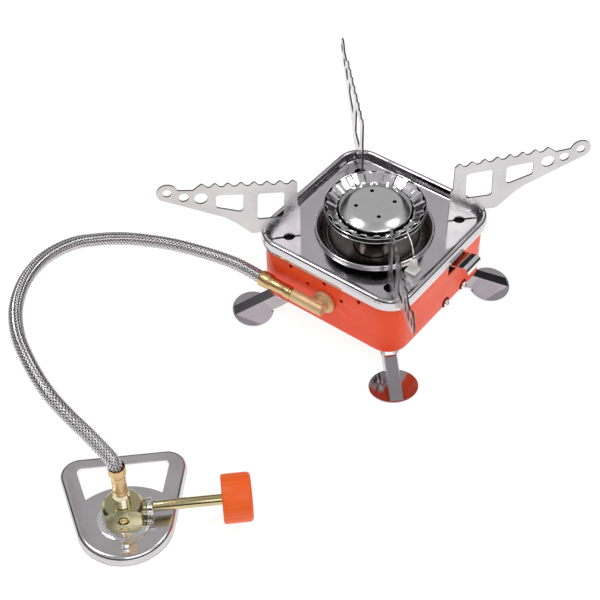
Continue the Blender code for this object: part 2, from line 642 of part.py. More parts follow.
# ------------------------------------------------------------------ igniter
def igniter():
    """Lever through the +X window, piezo unit under it, bracket and screws, electrode and its lead."""
    wall_in = BODY_HALF - WALL
    pin_x, pin_z = LEVER_PIVOT
    pivot = empty("lever_pivot", (pin_x, 0, pin_z))
    near, far = LEVER_Y
    top = LEVER_Z - pin_z
    tab = [(-2.6, 0.0), (-1.8, -2.2), (1.8, -2.2), (3.0, top - 1.0), (21.0, top - 0.8), (22.0, top - 2.6),
           (22.8, top - 2.2), (22.2, top - 0.3), (21.4, top), (3.0, top + 0.2), (0.0, 2.6), (-2.0, 1.8)]
    bm = bmesh.new()
    prism(bm, [(x, -z) for x, z in tab], near, far)
    moved(bm, Matrix.Rotation(math.radians(-90), 4, "X"))
    lever = finish("igniter_lever", bm, "chrome", pivot, smooth=False)
    bm = bmesh.new()
    rod(bm, (0, near - 2, 0), (0, far + 2, 0), 1.4, 10)
    boolean(lever, finish("lever_bore", bm, "chrome", pivot))
    bm = bmesh.new()
    rod(bm, (pin_x, near - 2.5, pin_z), (pin_x, far + 2.5, pin_z), 1.1, 10)
    finish("lever_pin", bm, "stainless")

    middle = (near + far) / 2
    bm = bmesh.new()
    box(bm, (35.9, middle - 5.2, DECK_Z - 34.0), (42.7, middle + 5.2, DECK_Z - 15.0))
    housing = finish("piezo_housing", bm, "black_plastic", smooth=False)
    bm = bmesh.new()
    rod(bm, (PLUNGER_X, middle, DECK_Z - 23.0), (PLUNGER_X, middle, DECK_Z - 13.0), 2.4, 12)
    boolean(housing, finish("plunger_bore", bm, "black_plastic"))
    bm = bmesh.new()
    rod(bm, (PLUNGER_X, middle, DECK_Z - 19.0), (PLUNGER_X, middle, LEVER_Z - 1.6), 2.0, 12)
    finish("piezo_plunger", bm, "black_plastic")
    bm = bmesh.new()
    box(bm, (43.0, SCREW_POINTS[0][0] - 3.4, 18.5), (wall_in - 0.6, SCREW_POINTS[1][0] + 3.4, 29.0))
    bracket = finish("piezo_bracket", bm, "stainless", smooth=False)
    bm = bmesh.new()
    for y, z in SCREW_POINTS:
        rod(bm, (42, y, z), (46, y, z), 1.7, 10)
    boolean(bracket, finish("bracket_cutters", bm, "stainless"))
    for side, (y, z) in zip(("near", "far"), SCREW_POINTS):
        bm = bmesh.new()
        turned(bm, [(1.35, -2.6), (1.35, 1.2), (2.7, 1.2), (2.7, 2.2), (2.1, 3.0), (1.0, 3.3)], 12)
        moved(bm, Matrix.Translation((43.6, y, z)) @ Matrix.Rotation(math.radians(90), 4, "Y"))
        finish(f"piezo_screw_{side}", bm, "chrome")

    at = Vector((35.0, -15.4, DECK_Z))
    half = 3.2
    bm = bmesh.new()
    sizes = ((half, GAP), (half, 1.6), (half - 0.7, 2.2), (1.7, 7.6), (1.3, 8.4))
    loft(bm, [[(at.x + sx * s, at.y + sy * s, at.z + z) for sx, sy in ((-1, -1), (1, -1), (1, 1), (-1, 1))]
              for s, z in sizes])
    finish("electrode_insulator", bm, "ceramic", smooth=False)
    wire = [(35.0, -15.4, 8.7), (34.6, -15.0, 11.0), (33.2, -13.7, 13.4), (30.6, -11.7, 15.4),
            (27.6, -9.9, 17.4), (25.9, -8.9, 18.3)]
    tube("electrode_wire", [(x, y, DECK_Z + z) for x, y, z in wire], 0.45, "stainless")
    lead = [(36.6, -0.6, 36.0), (34.4, -2.6, 36.6), (33.6, -6.6, 38.4), (34.2, -11.0, 42.0),
            (35.0, -14.2, 46.5), (35.0, -15.4, DECK_Z - SHEET - GAP)]
    tube("igniter_lead", lead, 0.8, "rubber")


# ------------------------------------------------------------------ valve plate
def plate_loop(inset, z, steps=5):
    """The valve plate's outline, inset by a distance: a round end tangent to two tapering sides."""
    taper = math.radians(PLATE_TAPER)
    corner_y = PLATE_TOP_EDGE - PLATE_CORNER
    corner_x = (PLATE_ROUND - PLATE_CORNER + corner_y * math.sin(taper)) / math.cos(taper)
    points = arc((corner_x, corner_y), PLATE_CORNER - inset, -PLATE_TAPER, 90, steps)
    points += arc((-corner_x, corner_y), PLATE_CORNER - inset, 90, 180 + PLATE_TAPER, steps)
    points += arc((0, 0), PLATE_ROUND - inset, 180 + PLATE_TAPER, 360 - PLATE_TAPER, steps * 2)
    return [(x, y, z) for x, y in points]


def window_outline():
    """The plate's hand opening: straight top and sides, and a lower edge that bulges up the plate."""
    points = arc((0.0, -14.2), 32.7, 125.0, 55.0, 10)
    return points + rounded_corner((23.5, 32.3), 2.5) + rounded_corner((-23.5, 32.3), 2.5)


def rounded_corner(corner, radius):
    x, y = corner
    side = math.copysign(1.0, x)
    start, end = (0, 90) if side > 0 else (90, 180)
    return arc((x - side * radius, y - radius), radius, start, end, 4)


def adapter_plate(valve):
    """The pressed plate: flat top, turned-down edge on the ground, window and valve hole."""
    sheet = 1.0
    edge = 2.4
    rows = ((edge, PLATE_HEIGHT), (1.0, PLATE_HEIGHT - 0.4), (0.2, PLATE_HEIGHT - 1.5),
            (0.0, PLATE_HEIGHT - 2.6), (0.0, 0.0), (sheet, 0.0), (sheet, PLATE_HEIGHT - 2.6),
            (1.6, PLATE_HEIGHT - 1.5), (edge, PLATE_HEIGHT - sheet))
    bm = bmesh.new()
    pressed_sheet(bm, [plate_loop(inset, z) for inset, z in rows], flat(plate_loop(edge, 0.0)),
                  (PLATE_HEIGHT, PLATE_HEIGHT - sheet), [window_outline(), flat(circle(5.4, steps=16))])
    finish("adapter_plate", bm, "stainless", valve)


def block_loop(radius, z):
    """The round block at one height, cut off by the milled flat at its front."""
    start = math.asin(BLOCK_FLAT / radius)
    sweep = math.pi - 2 * start
    steps = 20
    points = []
    for i in range(steps + 1):
        angle = start + sweep * i / steps
        points.append((radius * math.cos(angle), radius * math.sin(angle), z))
    return points


def valve_unit():
    """Everything on the valve plate: body, hose union, nut, spindle, knob and the canister's seat."""
    valve = empty("valve_frame", (*VALVE_AT, 0.0), VALVE_TURN)
    adapter_plate(valve)

    base = PLATE_HEIGHT + GAP
    bm = bmesh.new()
    loft(bm, [block_loop(BLOCK_RADIUS, base), block_loop(BLOCK_RADIUS, VALVE_TOP - 1.4),
              block_loop(BLOCK_RADIUS - 1.4, VALVE_TOP)])
    body = finish("valve_body", bm, "yellow_zinc", valve)
    bm = bmesh.new()
    rod(bm, (8.0, 0, SPINDLE_Z), (11.0, 0, SPINDLE_Z), 3.9, 16)
    boolean(body, finish("valve_boss", bm, "yellow_zinc", valve), "UNION")
    bm = bmesh.new()
    turned(bm, [(2.0, 1.2), (4.4, 2.2), (4.4, base + 1.0)], 16)
    boolean(body, finish("valve_nozzle", bm, "yellow_zinc", valve), "UNION")
    bm = bmesh.new()
    rod(bm, (4.0, 0, SPINDLE_Z), (12.0, 0, SPINDLE_Z), 2.0, 10)
    boolean(body, finish("spindle_bore", bm, "yellow_zinc", valve))
    bm = bmesh.new()
    side = METERING_X - 2.9
    box(bm, (side, -9.0, METERING_Z), (side + 5.8, -4.8, VALVE_TOP + 1))
    boolean(body, finish("groove_cutter", bm, "yellow_zinc", valve))
    bm = bmesh.new()
    rod(bm, (METERING_X, -9.0, METERING_Z), (METERING_X, -4.8, METERING_Z), 2.9, 20)
    boolean(body, finish("groove_end_cutter", bm, "yellow_zinc", valve))
    bm = bmesh.new()
    rod(bm, (METERING_X, -9.0, METERING_Z), (METERING_X, -3.5, METERING_Z), 2.2, 14)
    boolean(body, finish("metering_cutter", bm, "yellow_zinc", valve))

    bm = bmesh.new()
    rod(bm, (METERING_X, -5.2, METERING_Z), (METERING_X, -3.8, METERING_Z), 1.9, 14)
    finish("metering_screw", bm, "brass", valve)

    bm = bmesh.new()
    union = [(4.1, VALVE_TOP + GAP)]
    for k in range(3):
        z = VALVE_TOP + 1.8 + k * 2.2
        union += [(4.1, z), (3.6, z + 0.5), (4.1, z + 1.0)]
    union += [(3.4, VALVE_TOP + 9.0)]
    turned(bm, union, 16)
    finish("hose_union", bm, "brass", valve)

    bm = bmesh.new()
    nut = [[(z, x, y) for x, y, z in circle(radius, along, 12)]
           for radius, along in ((4.5, 11.3), (4.5, 13.9), (1.9, 13.9), (1.9, 11.3))]
    loft(bm, nut, closed=True)
    moved(bm, Matrix.Translation((0, 0, SPINDLE_Z)))
    finish("packing_nut", bm, "yellow_zinc", valve)

    turning = empty("spindle_axis", (0, 0, SPINDLE_Z), parent=valve)
    bm = bmesh.new()
    along_x = Matrix.Rotation(math.radians(90), 4, "Y")
    stem = [(1.1, 4.6), (1.5, 5.6), (1.5, 14.2), (2.7, 14.6), (2.7, 55.0), (2.2, 55.6)]
    turned(bm, stem, 12)
    moved(bm, along_x)
    finish("valve_spindle", bm, "brass", turning)

    bm = bmesh.new()
    steps = KNOB_RIBS * 4
    start, end = KNOB_SPAN

    def knob_loop(radius, x, groove):
        points = []
        for i in range(steps):
            angle = math.tau * i / steps
            depth = groove if i % 4 == 0 else 0.0
            points.append((x, (radius - depth) * math.cos(angle), (radius - depth) * math.sin(angle)))
        return points

    def socket_loop(x):
        return [(x, y, z) for y, z, _ in circle(3.0, steps=steps)]

    loft(bm, [socket_loop(56.2), socket_loop(start), knob_loop(KNOB_RADIUS - 0.5, start, 0.6),
              knob_loop(KNOB_RADIUS, start + 0.6, 0.6), knob_loop(KNOB_RADIUS, end - 1.2, 0.6),
              knob_loop(KNOB_RADIUS - 1.2, end, 0.3)])
    finish("control_knob", bm, "orange_plastic", turning)

    bm = bmesh.new()
    box(bm, (-1.5, -18.4, base), (1.5, -17.0, base + 3.0))
    finish("locating_pin", bm, "chrome", valve, smooth=False)

    under = PLATE_HEIGHT - 1.0 - GAP
    bm = bmesh.new()
    collar = [(18.6, under), (18.6, 0.8), (16.6, 0.8), (16.6, 1.8), (17.6, 1.8), (17.6, under)]
    turned(bm, collar, 24, closed=True)
    finish("canister_collar", bm, "stainless", valve)
    bm = bmesh.new()
    turned(bm, [(9.0, under), (9.0, 2.4), (5.2, 2.4), (5.2, under)], 20, closed=True)
    finish("canister_seal", bm, "rubber", valve)


def main():
    clear_scene()
    body_shell()
    deck_tray()
    base_plate()
    burner_bowl()
    burner_head()
    flame_ring()
    gas_inlet()
    hose_and_ferrules()
    for corner, heading in SUPPORT_HEADINGS.items():
        pot_support(corner, heading)
    for corner, heading in LEG_HEADINGS.items():
        leg(corner, heading)
        leg_pin(corner, heading)
    igniter()
    valve_unit()


main()
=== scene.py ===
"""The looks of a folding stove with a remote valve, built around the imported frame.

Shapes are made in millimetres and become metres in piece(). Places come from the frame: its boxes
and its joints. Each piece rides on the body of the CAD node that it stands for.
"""

import json
from math import asin, atan2, cos, pi, radians, sin, tan, tau

import bmesh
import bpy
from mathutils import Matrix, Vector


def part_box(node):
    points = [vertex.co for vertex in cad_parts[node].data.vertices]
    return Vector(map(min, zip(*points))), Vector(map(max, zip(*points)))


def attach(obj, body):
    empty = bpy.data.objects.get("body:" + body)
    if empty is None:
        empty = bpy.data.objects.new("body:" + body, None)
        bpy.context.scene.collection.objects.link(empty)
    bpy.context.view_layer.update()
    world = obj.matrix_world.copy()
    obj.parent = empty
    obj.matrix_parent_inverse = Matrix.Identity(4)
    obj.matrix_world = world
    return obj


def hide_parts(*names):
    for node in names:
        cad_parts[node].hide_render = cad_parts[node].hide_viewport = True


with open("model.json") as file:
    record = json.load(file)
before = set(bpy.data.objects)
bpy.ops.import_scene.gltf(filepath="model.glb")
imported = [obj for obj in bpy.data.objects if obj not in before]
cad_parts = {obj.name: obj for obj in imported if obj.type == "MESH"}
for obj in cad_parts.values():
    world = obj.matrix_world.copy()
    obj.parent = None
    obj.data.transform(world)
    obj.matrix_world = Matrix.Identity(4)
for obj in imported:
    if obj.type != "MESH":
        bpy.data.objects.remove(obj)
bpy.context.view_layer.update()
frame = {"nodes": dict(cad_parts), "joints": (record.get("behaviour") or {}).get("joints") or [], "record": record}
MM = 0.001


# ---- places read from the frame
def corners(node):
    """Lowest and highest corner of a CAD node, in millimetres."""
    low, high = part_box(node)
    return Vector(low) / MM, Vector(high) / MM


def joint_at(name):
    found = next(joint for joint in frame["joints"] if joint["name"] == name)
    return Vector(found["pos_m"]) / MM, Vector(found["axis"])


SIDES = ("front", "right", "back", "left")
BODY_LOW, BODY_HIGH = corners("body_shell")
BODY_HALF = BODY_HIGH.x
DECK_Z = joint_at("support_front_turn")[0].z
CORNER = joint_at("support_right_turn")[0].x
BOWL_HIGH = corners("burner_bowl")[1]
CUP_HIGH = corners("burner_cup")[1]
ELBOW_LOW, ELBOW_HIGH = corners("inlet_elbow")
INLET_Z = (ELBOW_LOW.z + ELBOW_HIGH.z) / 2
FERRULE_LOW, FERRULE_HIGH = corners("stove_ferrule")
KNOB_AT, KNOB_AXIS = joint_at("knob_turn")
SPINDLE_Z = KNOB_AT.z
PLATE_TOP = corners("adapter_plate")[1].z
VALVE_FRAME = Matrix.Translation((KNOB_AT.x, KNOB_AT.y, 0.0)) @ Matrix.Rotation(
    atan2(KNOB_AXIS.y, KNOB_AXIS.x), 4, "Z")

SHEET = 0.6
LEG_TIP = 77.8                 # from the stove's axis, with the legs open
FOOT_CENTRE = 66.9
PLATE_ROUND = 24.2             # radius of the valve plate's round end
PLATE_CORNER = 10.0
PLATE_CORNER_Y = 29.2
PLATE_TAPER = 13.3
WELL_RADIUS = 3.3
BLOCK_RADIUS = 10.0
FRONT_FLAT = -5.6
ARC_STEPS = 16
TURN_X = Matrix.Rotation(radians(90), 4, "X")
TURN_Y = Matrix.Rotation(radians(90), 4, "Y")
FINE = 96                      # segments of the larger turned pieces
SUPPORT_HEADINGS = {"front": -47.0, "right": 46.5, "back": 135.5, "left": 227.0}

# The hose's own route in metres, and its two ends inside the ferrules.
HOSE_ROUTE = (
    (-0.0369, -0.0516, 0.0351), (-0.0450, -0.0516, 0.0355), (-0.0530, -0.0525, 0.0363),
    (-0.0620, -0.0547, 0.0373), (-0.0730, -0.0591, 0.0393), (-0.0840, -0.0656, 0.0426),
    (-0.0940, -0.0750, 0.0473), (-0.1019, -0.0867, 0.0534), (-0.1070, -0.1004, 0.0600),
    (-0.1093, -0.1158, 0.0672), (-0.1076, -0.1354, 0.0736), (-0.0998, -0.1556, 0.0790),
    (-0.0870, -0.1742, 0.0828), (-0.0715, -0.1878, 0.0846), (-0.0553, -0.1964, 0.0830),
    (-0.0406, -0.2010, 0.0780), (-0.0283, -0.2015, 0.0708), (-0.0186, -0.1999, 0.0624),
    (-0.0116, -0.1983, 0.0542), (-0.0082, -0.1975, 0.0494),
)
HOSE_START = (-0.0335, -0.0516, 0.0351)
HOSE_END = (-0.0065, -0.1972, 0.0430)
HOSE_DIAMETER = 0.0072
CARRIERS = 12                  # wire bands in each direction of the braid
BRAID_PITCH = 24.0


# ---- camera, floor and light
def fill(node, values):
    """Sets a shader node's inputs."""
    for key, value in values.items():
        node.inputs[key].default_value = value


def linked(name, data):
    """A new object in the scene."""
    made = bpy.data.objects.new(name, data)
    bpy.context.collection.objects.link(made)
    return made


def camera():
    """The photograph's view: a long lens looking down at the stove's -Y and +X faces."""
    azimuth, elevation, roll = (radians(a) for a in (37.903, 45.736, -0.838))
    back = Vector((sin(azimuth) * cos(elevation), -cos(azimuth) * cos(elevation),
                   sin(elevation)))
    right = Vector((cos(azimuth), sin(azimuth), 0.0))
    turned_frame = Matrix((right, back.cross(right), back)).transposed() @ Matrix.Rotation(roll, 3, "Z")
    data = bpy.data.cameras.new("camera")
    data.lens = 84.0
    data.sensor_width = 36.0
    made = linked("camera", data)
    made.matrix_world = Matrix.Translation((0.30524, -0.45764, 0.56161)) @ turned_frame.to_4x4()
    bpy.context.scene.camera = made


def soft_box(name, at, size, power, colour=(1.0, 1.0, 1.0)):
    """A rectangular area light aimed at the stove."""
    light = bpy.data.lights.new(name, "AREA")
    light.shape = "RECTANGLE"
    light.size, light.size_y = size
    light.energy = power
    light.color = colour
    made = linked(name, light)
    made.location = at
    made.rotation_euler = (Vector((0.0, -0.06, 0.04)) - Vector(at)).to_track_quat("-Z", "Y").to_euler()


def studio():
    """White floor, a sky that is bright overhead and dark at the horizon, and soft boxes."""
    bm = bmesh.new()
    bmesh.ops.create_grid(bm, x_segments=1, y_segments=1, size=4.0)
    mesh = bpy.data.meshes.new("floor")
    bm.to_mesh(mesh)
    bm.free()
    floor = linked("floor", mesh)
    floor.location.z = -0.0004
    look = bpy.data.materials.new("floor")
    look.use_nodes = True
    shader = look.node_tree.nodes["Principled BSDF"]
    fill(shader, {
        "Base Color": (0.32, 0.32, 0.32, 1.0),
        "Roughness": 0.9,
        "Specular IOR Level": 0.0,
        "Emission Color": (1.0, 1.0, 1.0, 1.0),
        "Emission Strength": 0.86,
    })
    mesh.materials.append(look)

    world = bpy.data.worlds.new("studio")
    world.use_nodes = True
    nodes, links = world.node_tree.nodes, world.node_tree.links
    place = nodes.new("ShaderNodeTexCoord")
    parts = nodes.new("ShaderNodeSeparateXYZ")
    ramp = nodes.new("ShaderNodeValToRGB")
    ramp.color_ramp.elements[0].position = 0.0
    ramp.color_ramp.elements[0].color = (0.10, 0.10, 0.11, 1.0)
    ramp.color_ramp.elements[1].position = 1.0
    ramp.color_ramp.elements[1].color = (0.42, 0.42, 0.43, 1.0)
    for position, value in ((0.10, 0.035), (0.40, 0.05), (0.58, 0.52), (0.80, 0.56), (0.92, 0.52)):
        element = ramp.color_ramp.elements.new(position)
        element.color = (value, value * 0.985, value, 1.0)
    links.new(place.outputs["Generated"], parts.inputs[0])
    links.new(parts.outputs["Z"], ramp.inputs["Fac"])
    links.new(ramp.outputs["Color"], nodes["Background"].inputs["Color"])
    nodes["Background"].inputs["Strength"].default_value = 1.0
    bpy.context.scene.world = world

    soft_box("key", (-0.46, -0.42, 1.02), (0.34, 0.34), 3.1)
    soft_box("fill", (0.52, 0.34, 1.02), (0.34, 0.34), 1.9)
    soft_box("front", (0.72, -0.50, 0.88), (0.9, 0.6), 2.6)
    bpy.context.scene.view_settings.view_transform = "Standard"


# ---- materials
EVEN = (1.0, 1.0, 1.0)


def node_material(name):
    made = bpy.data.materials.new(name)
    made.use_nodes = True
    tree = made.node_tree
    return made, tree, tree.nodes["Principled BSDF"]


def noise(tree, vector, scale, detail=4.0, stretch=None):
    """A noise texture in object space, stretched along the grain of a brushed surface."""
    made = tree.nodes.new("ShaderNodeTexNoise")
    fill(made, {"Scale": scale, "Detail": detail})
    if stretch:
        mapping = tree.nodes.new("ShaderNodeMapping")
        mapping.inputs["Scale"].default_value = stretch
        tree.links.new(vector, mapping.inputs["Vector"])
        vector = mapping.outputs["Vector"]
    tree.links.new(vector, made.inputs["Vector"])
    return made


def spread(tree, source, low, high, start=0.35, end=0.65):
    """Maps a noise value onto a range."""
    made = tree.nodes.new("ShaderNodeMapRange")
    fill(made, {"From Min": start, "From Max": end, "To Min": low, "To Max": high})
    tree.links.new(source, made.inputs["Value"])
    return made.outputs["Result"]


def tinted(tree, factor, first, second):
    """A colour that drifts from first to second."""
    made = tree.nodes.new("ShaderNodeMix")
    made.data_type = "RGBA"
    fill(made, {"A": (*first, 1.0), "B": (*second, 1.0)})
    tree.links.new(factor, made.inputs["Factor"])
    return made.outputs["Result"]


def bump(tree, height, strength, distance, normal=None):
    made = tree.nodes.new("ShaderNodeBump")
    fill(made, {"Strength": strength, "Distance": distance})
    tree.links.new(height, made.inputs["Height"])
    if normal:
        tree.links.new(normal, made.inputs["Normal"])
    return made.outputs["Normal"]


def metal(name, first, second, roughness, stretch=EVEN, grain=0.15, marks=0.3, metallic=1.0):
    """Metal with slow tint changes, grain along one direction, smudges and hairline marks."""
    made, tree, shader = node_material(name)
    place = tree.nodes.new("ShaderNodeTexCoord").outputs["Object"]
    cloud = noise(tree, place, 45.0, 3.0)
    fine = noise(tree, place, 900.0, 5.0, stretch)
    smudge = noise(tree, place, 140.0, 6.0)
    factor = spread(tree, cloud.outputs["Fac"], 0.0, 1.0)
    tree.links.new(tinted(tree, factor, first, second), shader.inputs["Base Color"])
    rough = tree.nodes.new("ShaderNodeMath")
    rough.operation = "ADD"
    low, high = roughness
    tree.links.new(spread(tree, smudge.outputs["Fac"], low, high), rough.inputs[0])
    tree.links.new(spread(tree, fine.outputs["Fac"], -0.02, 0.03), rough.inputs[1])
    tree.links.new(rough.outputs[0], shader.inputs["Roughness"])
    normal = bump(tree, fine.outputs["Fac"], grain, 0.00002)
    normal = bump(tree, smudge.outputs["Fac"], marks, 0.00002, normal)
    tree.links.new(normal, shader.inputs["Normal"])
    shader.inputs["Metallic"].default_value = metallic
    return made


def paint(name, first, second, roughness):
    """Powder coat: slight orange peel, slow colour drift, a clear gloss and a painted highlight that lightens the
    high edges.
    """
    made, tree, shader = node_material(name)
    place = tree.nodes.new("ShaderNodeTexCoord").outputs["Object"]
    cloud = noise(tree, place, 30.0, 2.0)
    peel = noise(tree, place, 1400.0, 2.0)
    scuff = noise(tree, place, 120.0, 6.0)
    factor = spread(tree, cloud.outputs["Fac"], 0.0, 1.0)
    colour = tinted(tree, factor, first, second)
    # painted highlight: the coat's colour is lightened on sharp high edges, where the light catches them
    edge = tree.nodes.new("ShaderNodeNewGeometry").outputs["Pointiness"]
    painted_edge_highlight = tree.nodes.new("ShaderNodeMix")
    painted_edge_highlight.data_type = "RGBA"
    painted_edge_highlight.inputs["B"].default_value = (*(min(1.0, c * 1.25 + 0.04) for c in first), 1.0)
    tree.links.new(spread(tree, edge, 0.0, 0.7, 0.53, 0.62), painted_edge_highlight.inputs["Factor"])
    tree.links.new(colour, painted_edge_highlight.inputs["A"])
    tree.links.new(painted_edge_highlight.outputs["Result"], shader.inputs["Base Color"])
    low, high = roughness
    tree.links.new(spread(tree, scuff.outputs["Fac"], low, high), shader.inputs["Roughness"])
    tree.links.new(bump(tree, peel.outputs["Fac"], 0.05, 0.00005), shader.inputs["Normal"])
    fill(shader, {"Specular IOR Level": 0.22, "Coat Weight": 0.12, "Coat Roughness": 0.10})
    return made


def dull(name, first, second, roughness, peel_scale=700.0, peel_strength=0.15, subsurface=0.0):
    """Plastic, rubber and ceramic: mottled colour and a fine moulded or glazed surface."""
    made, tree, shader = node_material(name)
    place = tree.nodes.new("ShaderNodeTexCoord").outputs["Object"]
    cloud = noise(tree, place, 60.0, 3.0)
    peel = noise(tree, place, peel_scale, 4.0)
    factor = spread(tree, cloud.outputs["Fac"], 0.0, 1.0)
    tree.links.new(tinted(tree, factor, first, second), shader.inputs["Base Color"])
    low, high = roughness
    tree.links.new(spread(tree, peel.outputs["Fac"], low, high), shader.inputs["Roughness"])
    tree.links.new(bump(tree, peel.outputs["Fac"], peel_strength, 0.00008), shader.inputs["Normal"])
    fill(shader, {"Subsurface Weight": subsurface, "Subsurface Scale": 0.002})
    return made


def braid_wire(name):
    """A band of parallel bright wires: three ridges across its width, from the band's own UV."""
    made, tree, shader = node_material(name)
    uv = tree.nodes.new("ShaderNodeUVMap")
    uv.uv_map = "UVMap"
    parts = tree.nodes.new("ShaderNodeSeparateXYZ")
    tree.links.new(uv.outputs["UV"], parts.inputs[0])
    turns = tree.nodes.new("ShaderNodeMath")
    turns.operation = "MULTIPLY"
    turns.inputs[1].default_value = tau * 3
    tree.links.new(parts.outputs["X"], turns.inputs[0])
    ridge = tree.nodes.new("ShaderNodeMath")
    ridge.operation = "COSINE"
    tree.links.new(turns.outputs[0], ridge.inputs[0])
    place = tree.nodes.new("ShaderNodeTexCoord").outputs["Object"]
    cloud = noise(tree, place, 220.0, 4.0)
    # painted shade: each band's colour is darker in the grooves between its wires
    groove = spread(tree, ridge.outputs[0], 1.0, 0.0, -1.0, 0.6)
    colour = tinted(tree, groove, (0.50, 0.49, 0.50), (0.90, 0.89, 0.90))
    tree.links.new(colour, shader.inputs["Base Color"])
    tree.links.new(spread(tree, cloud.outputs["Fac"], 0.16, 0.30), shader.inputs["Roughness"])
    flip = spread(tree, ridge.outputs[0], 1.0, 0.0, -1.0, 1.0)
    tree.links.new(bump(tree, flip, 0.18, 0.00008), shader.inputs["Normal"])
    shader.inputs["Metallic"].default_value = 1.0
    return made


LOOKS = {
    "paint": paint("orange_coat", (1.0, 0.088, 0.020), (0.95, 0.078, 0.016), (0.26, 0.40)),
    # darker coat for the screw wells: painted shade in the pressed recesses
    "well": paint("recess_shade_coat", (0.34, 0.012, 0.004), (0.24, 0.008, 0.003), (0.40, 0.55)),
    "deck": metal("deck_steel", (0.68, 0.655, 0.67), (0.61, 0.59, 0.61), (0.07, 0.14), (1.0, 14.0, 1.0)),
    "plate": metal("satin_steel", (0.62, 0.60, 0.61), (0.53, 0.51, 0.52), (0.13, 0.24), (12.0, 1.0, 1.0)),
    "support": metal("support_steel", (0.64, 0.63, 0.63), (0.57, 0.55, 0.56), (0.20, 0.30),
                     (1.0, 1.0, 14.0)),
    "edge": metal("sheared_edge", (0.20, 0.19, 0.20), (0.10, 0.095, 0.10), (0.28, 0.45), EVEN, 0.3),
    "leg": metal("leg_steel", (0.48, 0.45, 0.47), (0.42, 0.39, 0.41), (0.05, 0.12), (10.0, 10.0, 1.0)),
    # darker steel for the bowl and the burner neck: partly a brown heat tint, mostly painted shade and dark
    # reflection under the burner head
    "dark": metal("heat_tint_and_shade_steel", (0.24, 0.21, 0.21), (0.15, 0.125, 0.13), (0.08, 0.18)),
    "black": metal("burnt_rim", (0.030, 0.028, 0.030), (0.016, 0.016, 0.018), (0.20, 0.32)),
    "bright": metal("bright_steel", (0.82, 0.82, 0.82), (0.74, 0.73, 0.74), (0.05, 0.11)),
    "cap": metal("cap_steel", (0.72, 0.72, 0.72), (0.66, 0.66, 0.66), (0.16, 0.22)),
    "brass": metal("polished_brass", (0.78, 0.58, 0.27), (0.68, 0.48, 0.20), (0.16, 0.27)),
    "cast": metal("cast_brass", (0.80, 0.58, 0.34), (0.72, 0.50, 0.28), (0.46, 0.60), EVEN, 0.5, 0.8,
                  0.55),
    "zinc": metal("yellow_zinc", (0.52, 0.46, 0.27), (0.36, 0.38, 0.23), (0.14, 0.28)),
    "ferrule": metal("satin_gold", (0.70, 0.50, 0.25), (0.64, 0.45, 0.21), (0.28, 0.38)),
    "thread": metal("threaded_brass", (0.74, 0.68, 0.48), (0.66, 0.60, 0.42), (0.14, 0.24)),
    "nut": metal("plated_nut", (0.78, 0.76, 0.72), (0.70, 0.68, 0.64), (0.10, 0.18)),
    "rod": metal("rod_brass", (0.62, 0.53, 0.30), (0.54, 0.46, 0.25), (0.10, 0.18), (1.0, 1.0, 20.0)),
    "knob": dull("orange_plastic", (1.0, 0.135, 0.006), (0.97, 0.120, 0.005), (0.40, 0.52), 900.0, 0.06,
                 0.1),
    "ceramic": dull("white_ceramic", (0.90, 0.89, 0.87), (0.84, 0.82, 0.80), (0.28, 0.44), 500.0, 0.12,
                    0.1),
    "plastic": dull("black_plastic", (0.030, 0.030, 0.032), (0.045, 0.045, 0.047), (0.45, 0.60)),
    "rubber": dull("black_rubber", (0.020, 0.020, 0.020), (0.035, 0.034, 0.033), (0.62, 0.80)),
    "wire": braid_wire("braid_wire"),
    "core": dull("hose_core", (0.012, 0.012, 0.012), (0.025, 0.025, 0.025), (0.5, 0.7)),
}


# ---- mesh helpers
def body_of_node(node):
    return next(name for name, nodes in frame["record"]["behaviour"]["bodies"].items() if node in nodes)


def piece(name, bm, look, nodes, place=None, bevel=0.0, angle=35.0, ride=None, edge=None):
    """Makes a piece in metres, smooth shaded, riding with the CAD nodes that it replaces.

    With an edge look, the walls that stand along the bmesh's own Z get that look.
    """
    if edge:
        bm.normal_update()
        for face in bm.faces:
            face.material_index = int(abs(face.normal.z) < 0.5)
    if place:
        bmesh.ops.transform(bm, matrix=place, verts=bm.verts)
    bmesh.ops.remove_doubles(bm, verts=bm.verts, dist=0.0005)
    bmesh.ops.recalc_face_normals(bm, faces=bm.faces)
    bmesh.ops.scale(bm, vec=(MM, MM, MM), verts=bm.verts)
    mesh = bpy.data.meshes.new(name)
    bm.to_mesh(mesh)
    bm.free()
    mesh.shade_smooth()
    mesh.set_sharp_from_angle(angle=radians(angle))
    mesh.materials.append(LOOKS[look])
    if edge:
        mesh.materials.append(LOOKS[edge])
    made = linked(name, mesh)
    if bevel:
        soften(made, bevel, angle)
    nodes = [nodes] if isinstance(nodes, str) else list(nodes)
    if nodes:
        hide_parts(*nodes)
    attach(made, ride or body_of_node(nodes[0]))
    return made


def soften(item, width, angle=35.0):
    """Rounds the sharp edges by a width in millimetres."""
    modifier = item.modifiers.new("round_edges", "BEVEL")
    modifier.width = width * MM
    modifier.segments = 3
    modifier.limit_method = "ANGLE"
    modifier.angle_limit = radians(angle)
    modifier.harden_normals = True


def cut(target, bm, operation="DIFFERENCE", place=None):
    """Applies a Boolean with a tool given in millimetres, then removes the tool."""
    if place:
        bmesh.ops.transform(bm, matrix=place, verts=bm.verts)
    bmesh.ops.recalc_face_normals(bm, faces=bm.faces)
    bmesh.ops.scale(bm, vec=(MM, MM, MM), verts=bm.verts)
    mesh = bpy.data.meshes.new("tool")
    bm.to_mesh(mesh)
    bm.free()
    tool = linked("tool", mesh)
    modifier = target.modifiers.new("cut", "BOOLEAN")
    modifier.operation = operation
    modifier.solver = "EXACT"
    modifier.use_self = True
    modifier.object = tool
    count = len(target.modifiers)
    target.modifiers.move(count - 1, 0)
    bake_modifier(target, 0)
    bpy.data.objects.remove(tool, do_unlink=True)


